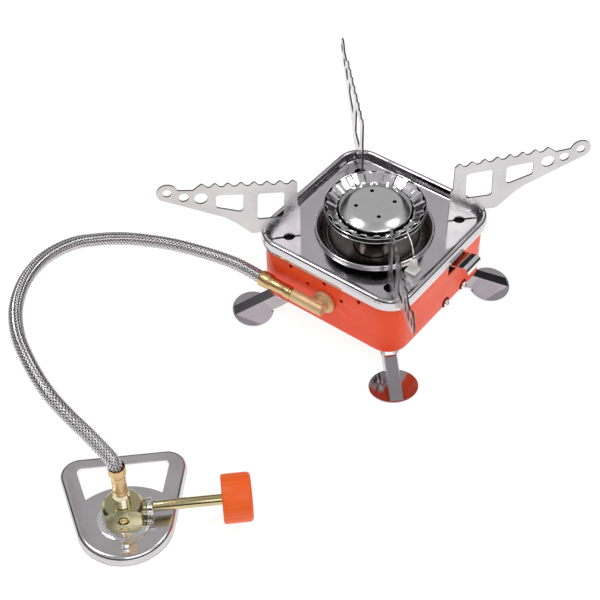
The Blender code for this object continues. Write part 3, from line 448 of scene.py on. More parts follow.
def bake_modifier(target, index):
    """Applies one modifier of the object and leaves the others."""
    others = [m for i, m in enumerate(target.modifiers) if i != index]
    for modifier in others:
        modifier.show_viewport = False
    graph = bpy.context.evaluated_depsgraph_get()
    made = bpy.data.meshes.new_from_object(target.evaluated_get(graph))
    made.shade_smooth()
    made.set_sharp_from_angle(angle=radians(35))
    target.modifiers.remove(target.modifiers[index])
    target.data = made
    for modifier in others:
        modifier.show_viewport = True


def wall(bm, low, high):
    """Quads between two loops of equal length."""
    for i in range(len(low)):
        j = (i + 1) % len(low)
        bm.faces.new((low[i], low[j], high[j], high[i]))


def loft(bm, loops, closed=False):
    """Skins loops of equal length. Open lofts are capped, closed ones return to the first loop."""
    rings = [[bm.verts.new(point) for point in loop] for loop in loops]
    pairs = list(zip(rings, rings[1:]))
    if closed:
        pairs.append((rings[-1], rings[0]))
    for low, high in pairs:
        wall(bm, low, high)
    if not closed:
        bm.faces.new(list(reversed(rings[0])))
        bm.faces.new(rings[-1])


def circle(radius, z=0.0, steps=FINE, centre=(0.0, 0.0), start=0.0):
    return [(centre[0] + radius * cos(start + tau * i / steps),
             centre[1] + radius * sin(start + tau * i / steps), z) for i in range(steps)]


def turned(profile, steps=FINE, closed=False):
    """A bmesh turned about Z from a profile of (radius, height)."""
    bm = bmesh.new()
    loft(bm, [circle(radius, z, steps) for radius, z in profile], closed)
    return bm


def lifted(base, profile):
    """A profile given relative to a height."""
    return [(radius, base + z) for radius, z in profile]


def arc(centre, radius, start, end, steps):
    """Points on an arc, angles in degrees, both ends included."""
    angles = [radians(start + (end - start) * i / steps) for i in range(steps + 1)]
    return [(centre[0] + radius * cos(a), centre[1] + radius * sin(a)) for a in angles]


def smoothed(corners_list, radius, steps=6):
    """An open or closed polyline of 2-D points with every corner rounded, given as a closed outline."""
    points = []
    count = len(corners_list)
    for i, corner in enumerate(corners_list):
        here = Vector(corner)
        before = Vector(corners_list[i - 1]) - here
        after = Vector(corners_list[(i + 1) % count]) - here
        half = before.angle(after) / 2
        wanted = radius[i] if isinstance(radius, (list, tuple)) else radius
        reach = min(wanted / tan(half), before.length * 0.45, after.length * 0.45)
        size = reach * tan(half)
        if half > radians(88) or size < 0.02:
            points.append(tuple(here))
            continue
        before.normalize()
        after.normalize()
        centre = here + (before + after).normalized() * size / sin(half)
        start = here + before * reach - centre
        sweep = start.angle_signed(here + after * reach - centre)
        for k in range(steps + 1):
            points.append(tuple(centre + Matrix.Rotation(-sweep * k / steps, 2) @ start))
    return points


def prism(bm, outline, low, high, holes=()):
    """A flat plate with straight walls: an outline and its holes, filled and raised from low to high."""
    edges = []
    for ring in (outline, *holes):
        verts = [bm.verts.new((x, y, low)) for x, y in ring]
        edges += [bm.edges.new((a, b)) for a, b in zip(verts, verts[1:] + verts[:1])]
    bmesh.ops.triangle_fill(bm, use_beauty=True, edges=edges, normal=(0.0, 0.0, -1.0))
    bmesh.ops.dissolve_limit(bm, angle_limit=radians(1), verts=bm.verts, edges=bm.edges)
    faces = list(bm.faces)
    raised = bmesh.ops.extrude_face_region(bm, geom=faces, use_keep_orig=True)
    verts = [item for item in raised["geom"] if isinstance(item, bmesh.types.BMVert)]
    bmesh.ops.translate(bm, verts=verts, vec=(0.0, 0.0, high - low))


def pressed_sheet(bm, section, flat_loop, heights, holes):
    """A sheet whose flat middle, with its holes, runs out into a formed edge given as loops."""
    rings = [[bm.verts.new(point) for point in loop] for loop in section]
    for low, high in zip(rings, rings[1:]):
        wall(bm, low, high)
    levels = []
    for height in heights:
        edges = []
        loops = []
        for ring in (flat_loop, *holes):
            verts = [bm.verts.new((x, y, height)) for x, y in ring]
            loops.append(verts)
            edges += [bm.edges.new((a, b)) for a, b in zip(verts, verts[1:] + verts[:1])]
        bmesh.ops.triangle_fill(bm, use_beauty=True, edges=edges, normal=(0.0, 0.0, 1.0))
        levels.append(loops[1:])
    for upper, lower in zip(*levels):
        wall(bm, upper, lower)


def flat(loop):
    return [(x, y) for x, y, _ in loop]


def box(bm, low, high):
    corner_points = [(low[0], low[1]), (high[0], low[1]), (high[0], high[1]), (low[0], high[1])]
    loft(bm, [[(x, y, z) for x, y in corner_points] for z in (low[2], high[2])])


def rod(bm, start, end, radius, steps=32):
    """A straight round bar between two points."""
    axis = Vector(end) - Vector(start)
    place = Matrix.Translation(Vector(start)) @ axis.to_track_quat("Z", "Y").to_matrix().to_4x4()
    loft(bm, [[place @ Vector(p) for p in circle(radius, z, steps)] for z in (0.0, axis.length)])


def square_loop(rho, z, steps=ARC_STEPS):
    """A square with round corners about the four pivots, rho outside each pivot's centre."""
    points = []
    for sx, sy, start in ((1, 1, 0), (-1, 1, 90), (-1, -1, 180), (1, -1, 270)):
        points += arc((sx * CORNER, sy * CORNER), rho, start, start + 90, steps)
    return [(x, y, z) for x, y in points]


def smooth_line(route, spacing):
    """Points at an even spacing along a Catmull-Rom curve through the route's own points."""
    knots = [Vector(point) for point in route]
    ends = [2 * knots[0] - knots[1], *knots, 2 * knots[-1] - knots[-2]]
    fine = []
    for a, b, c, d in zip(ends, ends[1:], ends[2:], ends[3:]):
        for k in range(24):
            t = k / 24
            fine.append(0.5 * (2 * b + (c - a) * t + (2 * a - 5 * b + 4 * c - d) * t * t
                               + (3 * b - a - 3 * c + d) * t ** 3))
    fine.append(knots[-1])
    along = [0.0]
    for a, b in zip(fine, fine[1:]):
        along.append(along[-1] + (b - a).length)
    count = round(along[-1] / spacing)
    points = []
    i = 1
    for k in range(count + 1):
        want = along[-1] * k / count
        while along[i] < want - 1e-12 and i < len(along) - 1:
            i += 1
        part = (want - along[i - 1]) / (along[i] - along[i - 1])
        points.append(fine[i - 1].lerp(fine[i], part))
    return points, along[-1]


def carried_frames(points):
    """Two directions across the line at each point, carried along without twisting."""
    across = None
    frames = []
    for i, point in enumerate(points):
        ahead = (points[min(i + 1, len(points) - 1)] - points[max(i - 1, 0)]).normalized()
        if across is None:
            across = ahead.orthogonal().normalized()
        across = (across - ahead * across.dot(ahead)).normalized()
        frames.append((point, across, ahead.cross(across)))
    return frames


# ---- hose
def hose():
    """Braided hose: interlaced bands of wire in both directions round a dark core, as one mesh."""
    route = (HOSE_START, *HOSE_ROUTE, HOSE_END)
    points, length = smooth_line(route, 0.00036)
    frames = carried_frames(points)
    radius = HOSE_DIAMETER / 2
    step = length / (len(points) - 1)
    crossing = BRAID_PITCH * MM / (2 * CARRIERS)
    lift = 0.00022
    middle = radius - 0.00026
    half_width = 0.00043
    bm = bmesh.new()
    uv = bm.loops.layers.uv.new("UVMap")

    def ring(place, distance):
        point, x, y = place
        return [bm.verts.new(point + x * (distance * cos(a)) + y * (distance * sin(a)))
                for a in (tau * k / 20 for k in range(20))]

    core = [ring(place, middle - 2.0 * lift) for place in frames[::3]]
    for low, high in zip(core, core[1:]):
        for i in range(20):
            face = bm.faces.new((low[i], low[(i + 1) % 20], high[(i + 1) % 20], high[i]))
            face.material_index = 1
    for way in (1, -1):
        for carrier in range(CARRIERS):
            rows = []
            for n, (point, x, y) in enumerate(frames):
                s = n * step
                angle = tau * (carrier / CARRIERS + way * s / (BRAID_PITCH * MM))
                out = middle + way * lift * cos(pi * s / crossing)
                row = []
                for side, drop in ((-1.0, 0.00010), (0.0, 0.0), (1.0, 0.00010)):
                    spread_angle = angle + side * half_width * 1.28 / radius
                    reach = out - drop
                    row.append(bm.verts.new(point + x * (reach * cos(spread_angle))
                                            + y * (reach * sin(spread_angle))))
                rows.append(row)
            for n, (low, high) in enumerate(zip(rows, rows[1:])):
                for k in range(2):
                    face = bm.faces.new((low[k], low[k + 1], high[k + 1], high[k]))
                    for loop, (u, v) in zip(face.loops, ((k, n), (k + 1, n), (k + 1, n + 1), (k, n + 1))):
                        loop[uv].uv = (u / 2, v * step / 0.0012)
    mesh = bpy.data.meshes.new("hose_braid")
    bm.to_mesh(mesh)
    bm.free()
    mesh.shade_smooth()
    mesh.materials.append(LOOKS["wire"])
    mesh.materials.append(LOOKS["core"])
    made = linked("hose_braid", mesh)
    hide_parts("gas_hose")
    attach(made, body_of_node("gas_hose"))
    return made, points, length


# ---- body and deck
def body():
    """The painted box with its vents, the lever's window and the pressed screw wells."""
    outer = BODY_HALF - CORNER
    top, low = BODY_HIGH.z, BODY_LOW.z
    wall = 0.8
    section = [(outer - 4.0, top), (outer - 0.6, top), (outer - 0.15, top - 0.2), (outer, top - 0.7)]
    section += [(outer, top - 12.0), (outer, low + 12.0)]
    section += [(outer - 2.2 + x, low + 2.2 + z) for x, z in arc((0, 0), 2.2, 0, -90, 8)]
    section += [(outer - 3.2, low), (outer - 3.2, low + wall)]
    section += [(outer - 2.2 + x, low + 2.2 + z) for x, z in arc((0, 0), 2.2 - wall, -90, 0, 6)]
    section += [(outer - wall, top - wall), (outer - 4.0, top - wall)]
    bm = bmesh.new()
    loft(bm, [square_loop(rho, z) for rho, z in section], closed=True)
    shell = piece("painted_body", bm, "paint", "body_shell")
    lever_low, lever_high = corners("igniter_lever")
    tool = bmesh.new()
    for k in range(-2, 3):
        height = DECK_Z - (12.8 if k % 2 else 6.7)
        for start, end in (((k * 11.0, -BODY_HALF - 3, height), (k * 11.0, -BODY_HALF + 3, height)),
                           ((k * 11.0, BODY_HALF - 3, height), (k * 11.0, BODY_HALF + 3, height)),
                           ((-BODY_HALF - 3, k * 11.0, height), (-BODY_HALF + 3, k * 11.0, height))):
            rod(tool, start, end, 1.2, 24)
    box(tool, (BODY_HALF - 3, lever_low.y - 1.0, DECK_Z - 13.6),
        (BODY_HALF + 3, lever_high.y + 1.0, DECK_Z - 2.3))
    neck_x = (corners("inlet_nut")[0].x + corners("inlet_nut")[1].x) / 2
    rod(tool, (neck_x, -BODY_HALF - 3, INLET_Z), (neck_x, -BODY_HALF + 3, INLET_Z), 3.6, 32)
    for node in ("piezo_screw_near", "piezo_screw_far"):
        y, z = screw_centre(node)
        rod(tool, (BODY_HALF - 3, y, z), (BODY_HALF + 3, y, z), WELL_RADIUS, 40)
    cut(shell, tool)
    soften(shell, 0.18, 50.0)
    for node in ("piezo_screw_near", "piezo_screw_far"):
        screw_well(node)
        pan_screw(node)


def screw_centre(node):
    low, high = corners(node)
    return (low.y + high.y) / 2, (low.z + high.z) / 2


def screw_well(node):
    """The coated dish that a screw sits in, pressed into the wall; its darker coat is painted shade in the recess.
    """
    y, z = screw_centre(node)
    profile = [(WELL_RADIUS - 0.02, -0.05), (3.2, -0.5), (3.0, -1.15), (2.6, -1.4), (1.55, -1.45),
               (1.55, -1.7),
               (2.8, -1.65), (WELL_RADIUS - 0.02, -1.3)]
    place = Matrix.Translation((BODY_HALF, y, z)) @ TURN_Y
    piece(node.replace("piezo_screw", "screw_well"), turned(profile, 48, closed=True), "well", (), place,
          ride=body_of_node(node))


def pan_screw(node):
    """A pan-head screw with a cross recess."""
    y, z = screw_centre(node)
    low, high = corners(node)
    head = [(1.35, low.x), (1.35, high.x - 2.0), (2.0, high.x - 1.9), (2.1, high.x - 1.1),
            (1.9, high.x - 0.5),
            (1.4, high.x - 0.1), (0.5, high.x)]
    place = Matrix.Translation((0, y, z)) @ TURN_Y
    screw = piece(node.replace("piezo", "pan"), turned(head, 48), "bright", node, place)
    tool = bmesh.new()
    for width, depth in ((0.28, 1.25), (1.25, 0.28)):
        box(tool, (high.x - 0.9, y - depth, z - width), (high.x + 1, y + depth, z + width))
    cut(screw, tool)


def keyhole(sx, sy):
    """A pivot hole with a slit towards the tray's corner, as an outline cut in the flat deck."""
    turn = Matrix.Rotation(atan2(sy, sx), 2)
    points = arc((0.0, 0.0), 3.25, 6, 354, 40) + [(7.2, -0.35), (7.2, 0.35)]
    return [tuple(Vector((sx * CORNER, sy * CORNER)) + turn @ Vector(point)) for point in points]


def deck():
    """The pressed tray: flat deck, rolled rim with a bead line inside it, hem under the rim."""
    crown = arc((13.1, 3.3), 1.55, 150, 20, 8)
    inside = [(7.6, 0.0), (9.1, 0.0), (9.7, 0.18), (10.15, 0.62), (10.45, 1.3), (10.8, 2.3), (11.15, 3.2)]
    outside = [(14.85, 3.2), (15.05, 2.4), (15.1, 1.0), (15.0, -0.4), (14.8, -1.2), (14.75, -1.8)]
    hem = [(14.2, -1.8), (14.2, -0.9), (14.4, 1.0), (14.35, 2.4), (14.0, 3.5), (13.2, 4.2), (12.4, 3.7),
           (11.6, 2.4), (11.0, 0.8), (10.2, -0.1), (9.4, -0.55), (7.6, -SHEET)]
    section = inside + crown + outside + hem
    holes = [flat(circle(30.5))] + [keyhole(sx, sy) for sx in (1, -1) for sy in (1, -1)]
    bm = bmesh.new()
    pressed_sheet(bm, [square_loop(rho, DECK_Z + z) for rho, z in section], flat(square_loop(7.6, 0.0)),
                  (DECK_Z, DECK_Z - SHEET), holes)
    piece("tray", bm, "deck", "deck_tray", angle=50.0)


# ---- burner
def burner():
    """Bowl, mixing tube, cup with its black rim, pleated ring, port ring and cap."""
    top = BOWL_HIGH.z
    bead = [(31.2 + 1.0 * cos(a), top - 1.4 + 1.35 * sin(a))
            for a in (radians(d) for d in range(-90, 251, 20))]
    piece("bowl_bead", turned(bead, 128, closed=True), "deck", (), ride=body_of_node("burner_bowl"))
    bowl = [(30.4, -1.6), (29.7, -2.2), (29.0, -3.6), (28.2, -6.0), (26.8, -8.4),
            (24.5, -10.5), (21.0, -12.2), (17.0, -13.3), (13.0, -14.0), (11.2, -14.1),
            (11.2, -14.6), (17.2, -13.9), (21.4, -12.8), (25.0, -11.1), (27.4, -8.8),
            (28.9, -6.0), (29.6, -3.4), (30.6, -2.4)]
    made = piece("bowl", turned(lifted(top, bowl), 128, closed=True), "dark", "burner_bowl")
    tool = bmesh.new()
    for x, y in ((1, 0), (0, 1), (-1, 0), (0, -1)):
        rod(tool, (24.4 * x, 24.4 * y, top - 20), (24.4 * x, 24.4 * y, top - 6), 2.3, 32)
    cut(made, tool)

    tube_low, tube_high = corners("mixing_tube")
    tube = [(10.6, tube_low.z), (10.6, tube_high.z - 5.0), (10.3, tube_high.z - 4.6),
            (10.3, tube_high.z - 4.2),
            (10.6, tube_high.z - 3.8), (10.6, tube_high.z), (10.0, tube_high.z), (10.0, tube_low.z)]
    piece("burner_neck", turned(tube, FINE, closed=True), "dark", "mixing_tube")

    rim = CUP_HIGH.z
    cup = [(10.9, -11.3), (11.4, -10.2), (12.6, -9.0), (17.0, -6.6), (25.4, -3.7),
           (26.5, -3.2), (27.0, -2.6), (27.1, -1.9), (27.1, -0.7), (26.9, -0.2),
           (26.5, 0.0), (26.1, -0.1), (25.9, -0.5), (25.8, -1.9), (25.0, -2.7),
           (17.0, -5.4), (12.0, -8.2), (10.0, -11.3)]
    piece("cup", turned(lifted(rim, cup), 128, closed=True), "black", "burner_cup")

    pleats = bmesh.new()
    count = 22
    corners_of_fold = ((0.08, 1.0), (0.42, 1.0), (0.58, -1.0), (0.92, -1.0))
    rows = [(20.5, -3.1, 0.2), (20.9, -2.8, 0.35), (22.2, -1.9, 0.5), (24.0, -0.7, 0.55),
            (25.3, 0.2, 0.5),
            (25.8, 0.5, 0.45)]

    def wave(radius, z, depth):
        loop = []
        for fold in range(count):
            for part, side in corners_of_fold:
                angle = tau * (fold + part) / count
                reach = radius + depth * side
                loop.append((reach * cos(angle), reach * sin(angle), rim + z))
        return loop

    inner = [wave(radius - 0.22, z + 0.02, depth) for radius, z, depth in rows]
    outer = [wave(radius + 0.1, z - 0.12, depth) for radius, z, depth in rows]
    loft(pleats, inner + outer[::-1], closed=True)
    piece("pleated_ring", pleats, "bright", "flame_ring", angle=20.0)
    for name, reach, drop in (("rim_wire", 26.9, 0.05), ("band_wire", 27.0, 2.8)):
        wire = [(reach + 0.22 * cos(a), rim - drop + 0.22 * sin(a))
                for a in (tau * k / 10 for k in range(10))]
        piece(name, turned(wire, 128, closed=True), "bright", (), ride=body_of_node("burner_cup"))

    cap_top = corners("burner_cap")[1].z
    flat_radius = 14.3
    cap = [(flat_radius - 0.7, -0.75), (18.3, -2.9), (18.5, -3.9), (19.2, -3.9),
           (19.2, -2.6), (18.9, -2.2), (flat_radius + 0.5, -0.28),
           (flat_radius, -0.05), (flat_radius - 0.4, 0.0), (flat_radius - 1.3, 0.0),
           (5.0, 0.0)]
    made = piece("cap", turned(lifted(cap_top, cap), 128), "cap", "burner_cap", angle=20.0)
    tool = bmesh.new()
    for k in range(4):
        angle = radians(45 + 90 * k)
        x, y = 10.3 * cos(angle), 10.3 * sin(angle)
        rod(tool, (x, y, cap_top - 3), (x, y, cap_top + 1), 1.15, 24)
    cut(made, tool)


def electrode():
    """Ceramic post on a square foot, and the spark wire bent over to the flame ring."""
    low, high = corners("electrode_insulator")
    x, y = (low.x + high.x) / 2, (low.y + high.y) / 2
    half = (high.x - low.x) / 2
    bm = bmesh.new()
    rows = ((half, low.z), (half, low.z + 1.2), (half - 0.5, low.z + 1.5), (half - 1.0, low.z + 2.2),
            (half - 1.3, low.z + 5.0), (half - 1.7, high.z - 0.4), (half - 2.0, high.z))
    loops = []
    for size, z in rows:
        outline = smoothed([(x - size, y - size), (x + size, y - size), (x + size, y + size),
                            (x - size, y + size)],
                           0.5, 4)
        loops.append([(px, py, z) for px, py in outline])
    loft(bm, loops)
    piece("ceramic_post", bm, "ceramic", "electrode_insulator", bevel=0.15, angle=40.0)

    wire = [(x, y, high.z - 0.5), (x, y, high.z + 1.0), (x - 0.5, y + 0.5, high.z + 3.0),
            (x - 2.2, y + 2.0, high.z + 5.2), (x - 4.8, y + 4.0, high.z + 7.2),
            (x - 7.4, y + 5.5, high.z + 8.9),
            (x - 9.1, y + 6.5, high.z + 9.9)]
    points, _ = smooth_line([Vector(p) * MM for p in wire], 0.0005)
    tube_curve("spark_wire", points, 0.42, "bright", "electrode_wire")


def tube_curve(name, points, radius, look, node):
    curve = bpy.data.curves.new(name, "CURVE")
    curve.dimensions = "3D"
    curve.bevel_depth = radius * MM
    curve.bevel_resolution = 4
    curve.use_fill_caps = True
    spline = curve.splines.new("POLY")
    spline.points.add(len(points) - 1)
    for point, place in zip(spline.points, points):
        point.co = (*place, 1.0)
    curve.materials.append(LOOKS[look])
    made = linked(name, curve)
    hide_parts(node)
    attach(made, body_of_node(node))


# ---- supports and legs
def support_outline():
    """The serrated plate in (r, z) about its pivot, z above the deck."""
    outline = [(-6.2, 0.6), (-6.2, 20.0), (-4.9, 22.0), (-4.8, 36.6)]
    radii = [0.5, 2.0, 2.0, 1.0]
    pitch, count = 6.66, 8
    for k in range(count):
        r = -2.5 + k * pitch
        z = 38.8 + k * (43.4 - 38.8) / (count - 1)
        outline.append((r, z + 0.25))
        radii.append(0.9)
        if k < count - 1:
            outline += [(r + 2.5, z - 2.1), (r + pitch - 2.5, z - 1.8)]
            radii += [0.8, 0.8]
    outline += [(48.8, 39.9), (56.6, 40.9)]
    radii += [0.8, 1.5]
    outline += arc((62.0, 40.0), 5.4, 150, -75, 20)
    radii += [0.0] * 21
    outline += [(33.5, 19.2), (28.3, 14.8), (19.8, 5.9), (18.4, 5.6), (9.0, 5.6), (9.0, 0.6), (1.7, 0.6),
                (1.7, -1.6), (-1.7, -1.6), (-1.7, 0.6)]
    radii += [6.0, 4.0, 0.8, 0.8, 0.5, 0.4, 0.3, 0.3, 0.3, 0.3]
    return smoothed(outline, radii, 5)


def supports():
    """Four serrated plates, each on its own stem, turned to the headings they stand at."""
    holes = [smoothed([(37.4, 34.8), (23.0, 33.4), (23.7, 21.3), (37.6, 26.6)], 1.8),
             smoothed([(15.8, 32.6), (1.8, 31.5), (2.5, 14.6), (16.5, 15.0)], 1.8)]
    holes += [flat(circle(radius, steps=28, centre=centre))
              for centre, radius in (((62.0, 40.0), 2.3), ((53.7, 35.9), 2.6), ((45.0, 34.0), 3.5))]
    for side in SIDES:
        pivot = joint_at(f"support_{side}_turn")[0]
        bm = bmesh.new()
        prism(bm, support_outline(), -0.5, 0.5, holes)
        place = (Matrix.Translation(pivot) @ Matrix.Rotation(radians(SUPPORT_HEADINGS[side]), 4, "Z")
                 @ TURN_X)
        piece(f"serrated_support_{side}", bm, "support", f"pot_support_{side}", place, bevel=0.10,
              angle=40.0,
              edge="edge")
        stem_low = corners(f"support_stem_{side}")[0]
        profile = [(2.2, stem_low.z - DECK_Z), (2.2, -3.9), (4.4, -3.7), (4.6, -3.5), (4.6, -2.0),
                   (4.4, -1.8),
                   (0.5, -1.75)]
        piece(f"stem_{side}", turned(profile, 40), "black", f"support_stem_{side}",
              Matrix.Translation(pivot))


def legs():
    """Folded-sheet legs: a sloping channel with round bends, on half-round feet."""
    for side in SIDES:
        pivot, axis = joint_at(f"leg_{side}_fold")
        heading = atan2(-axis.x, axis.y)
        reach = Vector((pivot.x, pivot.y)).length
        tip = LEG_TIP - reach
        slope_start = (5.0, -1.9)
        slope_end = (tip, 0.9 - pivot.z)
        flange = [slope_start, slope_end, (tip, -pivot.z), (7.0, -pivot.z), (6.6, 1.8 - pivot.z),
                  (1.9, 4.0 - pivot.z), (-2.6, 6.6 - pivot.z)]
        flange += arc((0.0, 0.0), 3.2, 190, 60, 16)
        place = Matrix.Translation(pivot) @ Matrix.Rotation(heading, 4, "Z")
        upright = place @ TURN_X
        bm = bmesh.new()
        prism(bm, flange, -3.6, 3.6)
        made = piece(f"channel_leg_{side}", bm, "leg", f"leg_{side}", upright)
        tool = bmesh.new()
        inner = [(5.4, -3.05), (tip - 1.4, 0.75 - pivot.z), (tip - 1.4, -2.0 - pivot.z),
                 (-10.0, -2.0 - pivot.z),
                 (-10.0, 7.0), (5.4, 7.0)]
        prism(tool, inner, -2.8, 2.8)
        rod(tool, (0, 0, -8), (0, 0, 8), 1.6, 32)
        cut(made, tool, place=upright)
        soften(made, 0.62, 50.0)

        foot = bmesh.new()
        slot = [(tip - 1.5, 3.0), (tip - 1.5, -3.0), (-14.0, -3.0), (-14.0, 3.0)]
        rows = [(0.03, 0.8), (0.5, 0.82), (0.8, 0.95), (1.0, 1.2), (1.0, 0.5), (0.8, 0.15), (0.5, 0.0),
                (0.03, 0.0)]
        centre = FOOT_CENTRE - reach
        loft(foot, [[(centre + 11.4 * size * x, 13.2 * size * y, z - pivot.z) for x, y, _ in circle(1.0)]
                    for size, z in rows])
        made = piece(f"foot_{side}", foot, "leg", (), place, ride=body_of_node(f"leg_{side}"))
        tool = bmesh.new()
        prism(tool, slot[::-1], -pivot.z - 2, -pivot.z + 2)
        cut(made, tool, place=place)
        soften(made, 0.25, 50.0)


# ---- gas line
def along_x(at_x, y, z):
    """Places a turned profile so that its height runs towards -X from a point."""
    return Matrix.Translation((at_x, y, z)) @ Matrix.Rotation(radians(-90), 4, "Y")


def gas_line():
    """Cast elbow with its wall flange, and the crimped ferrules at both ends of the hose."""
    barrel_y = (FERRULE_LOW.y + FERRULE_HIGH.y) / 2
    neck_x = (corners("inlet_nut")[0].x + corners("inlet_nut")[1].x) / 2
    wall = ELBOW_HIGH.y
    bm = bmesh.new()
    rod(bm, (ELBOW_LOW.x + 0.2, barrel_y, INLET_Z), (neck_x + 3.4, barrel_y, INLET_Z), 3.55, 48)
    rod(bm, (neck_x, barrel_y + 1.0, INLET_Z), (neck_x, wall - 0.1, INLET_Z), 4.1, 48)
    rod(bm, (neck_x, wall - 2.1, INLET_Z), (neck_x, wall, INLET_Z), 6.5, 64)
    elbow = piece("cast_elbow", bm, "cast", "inlet_elbow")
    remesh = elbow.modifiers.new("cast", "REMESH")
    remesh.mode = "VOXEL"
    remesh.voxel_size = 0.00022
    remesh.use_smooth_shade = True
    relax = elbow.modifiers.new("fillets", "SMOOTH")
    relax.factor = 0.5
    relax.iterations = 7

    start = FERRULE_HIGH.x
    length = start - FERRULE_LOW.x
    outside = [(2.9, 0.0), (2.95, 0.9), (3.5, 1.2), (3.6, 1.5), (3.6, 2.3), (3.2, 2.6), (3.2, 3.0),
               (3.6, 3.3),
               (3.6, 4.1), (3.45, 4.5), (3.5, length * 0.62), (3.62, length * 0.64),
               (4.15, length * 0.69),
               (4.3, length * 0.71), (4.3, length - 0.5), (4.15, length - 0.1), (3.95, length)]
    inside = [(3.7, length - 0.3), (3.7, length - 4.0), (2.0, length - 4.0), (2.0, 0.0)]
    piece("stove_crimp", turned(outside + inside, 64, closed=True), "ferrule", "stove_ferrule",
          along_x(start, barrel_y, INLET_Z), bevel=0.08, angle=30.0)

    low, high = corners("valve_ferrule")
    outside = [(3.35, low.z), (3.5, low.z + 0.3), (3.75, low.z + 0.9), (3.75, low.z + 3.1),
               (3.4, low.z + 3.6), (3.4, low.z + 3.9), (3.5, low.z + 4.2), (3.5, high.z - 6.4),
               (3.75, high.z - 6.0), (4.1, high.z - 5.4), (4.2, high.z - 4.8), (4.2, high.z - 1.2),
               (4.15, high.z - 0.2), (4.05, high.z)]
    inside = [(3.85, high.z - 0.2), (3.8, high.z - 3.6), (2.0, high.z - 3.8), (2.0, low.z)]
    piece("valve_crimp", turned(outside + inside, 64, closed=True), "ferrule", "valve_ferrule",
          Matrix.Translation((KNOB_AT.x, KNOB_AT.y, 0.0)), bevel=0.08, angle=30.0)


# ---- igniter lever
def lever():
    """Polished lever: a flat tongue that ends in a lip curled down."""
    low, high = corners("igniter_lever")
    pivot = joint_at("lever_press")[0]
    end = high.x - pivot.x
    top = high.z - pivot.z
    upper = [(-2.0, 0.9), (0.0, 1.2), (6.0, 0.7), (end - 10.0, 0.6), (end - 3.8, top - 0.25)]
    upper += [(end - 3.4 + x, top - 3.4 + z) for x, z in arc((0, 0), 3.4, 84, -4, 12)]
    lower = [(end - 3.4 + x, top - 3.4 + z) for x, z in arc((0, 0), 2.6, -4, 86, 12)]
    lower += [(end - 10.0, -0.3), (6.0, -0.3), (1.8, -2.2), (-1.8, -2.2), (-2.6, -0.6)]
    bm = bmesh.new()
    prism(bm, upper + lower, -high.y, -low.y)
    place = Matrix.Translation((pivot.x, 0, pivot.z)) @ TURN_X
    made = piece("lever", bm, "bright", "igniter_lever", place)
    tool = bmesh.new()
    rod(tool, (pivot.x, low.y - 2, pivot.z), (pivot.x, high.y + 2, pivot.z), 1.4, 24)
    cut(made, tool)
    soften(made, 0.15, 40.0)


# ---- valve on its plate
def plate_loop(inset, z, steps=14):
    """The valve plate's outline, inset by a distance: a round end tangent to two tapering sides."""
    taper = radians(PLATE_TAPER)
    edge = PLATE_CORNER - inset
    x = (PLATE_ROUND - PLATE_CORNER + PLATE_CORNER_Y * sin(taper)) / cos(taper)
    points = arc((x, PLATE_CORNER_Y), edge, -PLATE_TAPER, 90, steps)
    points += arc((-x, PLATE_CORNER_Y), edge, 90, 180 + PLATE_TAPER, steps)
    points += arc((0, 0), PLATE_ROUND - inset, 180 + PLATE_TAPER, 360 - PLATE_TAPER, steps * 3)
    return [(x, y, z) for x, y in points]


def valve_plate():
    """Pressed plate: rounded shoulder, turned-down edge and the hand opening."""
    top = PLATE_TOP
    sheet = 1.0
    shoulder = [(2.6 - 2.6 * sin(a), top - 2.6 + 2.6 * cos(a))
                for a in (radians(d) for d in range(0, 91, 9))]
    under = [(2.6 - 1.6 * sin(a), top - 2.6 + 1.6 * cos(a))
             for a in (radians(d) for d in range(90, -1, -15))]
    rows = shoulder + [(0.0, 0.25), (0.2, 0.0), (0.8, 0.0), (1.0, 0.25)] + under
    low = arc((0.0, -14.2), 32.7, 125.0, 55.0, 36)
    window = smoothed(low[:1] + [(-23.5, 32.3), (23.5, 32.3)] + low[-1:] + low[-2:0:-1],
                      [1.2, 2.5, 2.5, 1.2] + [0.0] * (len(low) - 2), 8)
    bm = bmesh.new()
    pressed_sheet(bm, [plate_loop(inset, z) for inset, z in rows], flat(plate_loop(2.6, 0.0)),
                  (top, top - sheet), [window, flat(circle(5.4, steps=48))])
    made = piece("pressed_plate", bm, "plate", "adapter_plate", VALVE_FRAME, angle=50.0)
    soften(made, 0.2, 50.0)
    disc = [(5.6, 0.02), (13.2, 0.02), (13.5, 0.1), (13.2, 0.24), (5.6, 0.24)]
    piece("valve_washer", turned(lifted(top, disc), 72, closed=True), "bright", (), VALVE_FRAME,
          ride=body_of_node("adapter_plate"))
    tab_low, tab_high = corners("locating_pin")
    bm = bmesh.new()
    outline = smoothed([(-1.5, -18.4), (1.5, -18.4), (1.5, -17.0), (-1.5, -17.0)], 0.4, 4)
    loft(bm, [[(x, y, z) for x, y in outline] for z in (tab_low.z, tab_high.z - 0.3, tab_high.z)])
    piece("tab", bm, "bright", "locating_pin", VALVE_FRAME, bevel=0.2, angle=40.0)


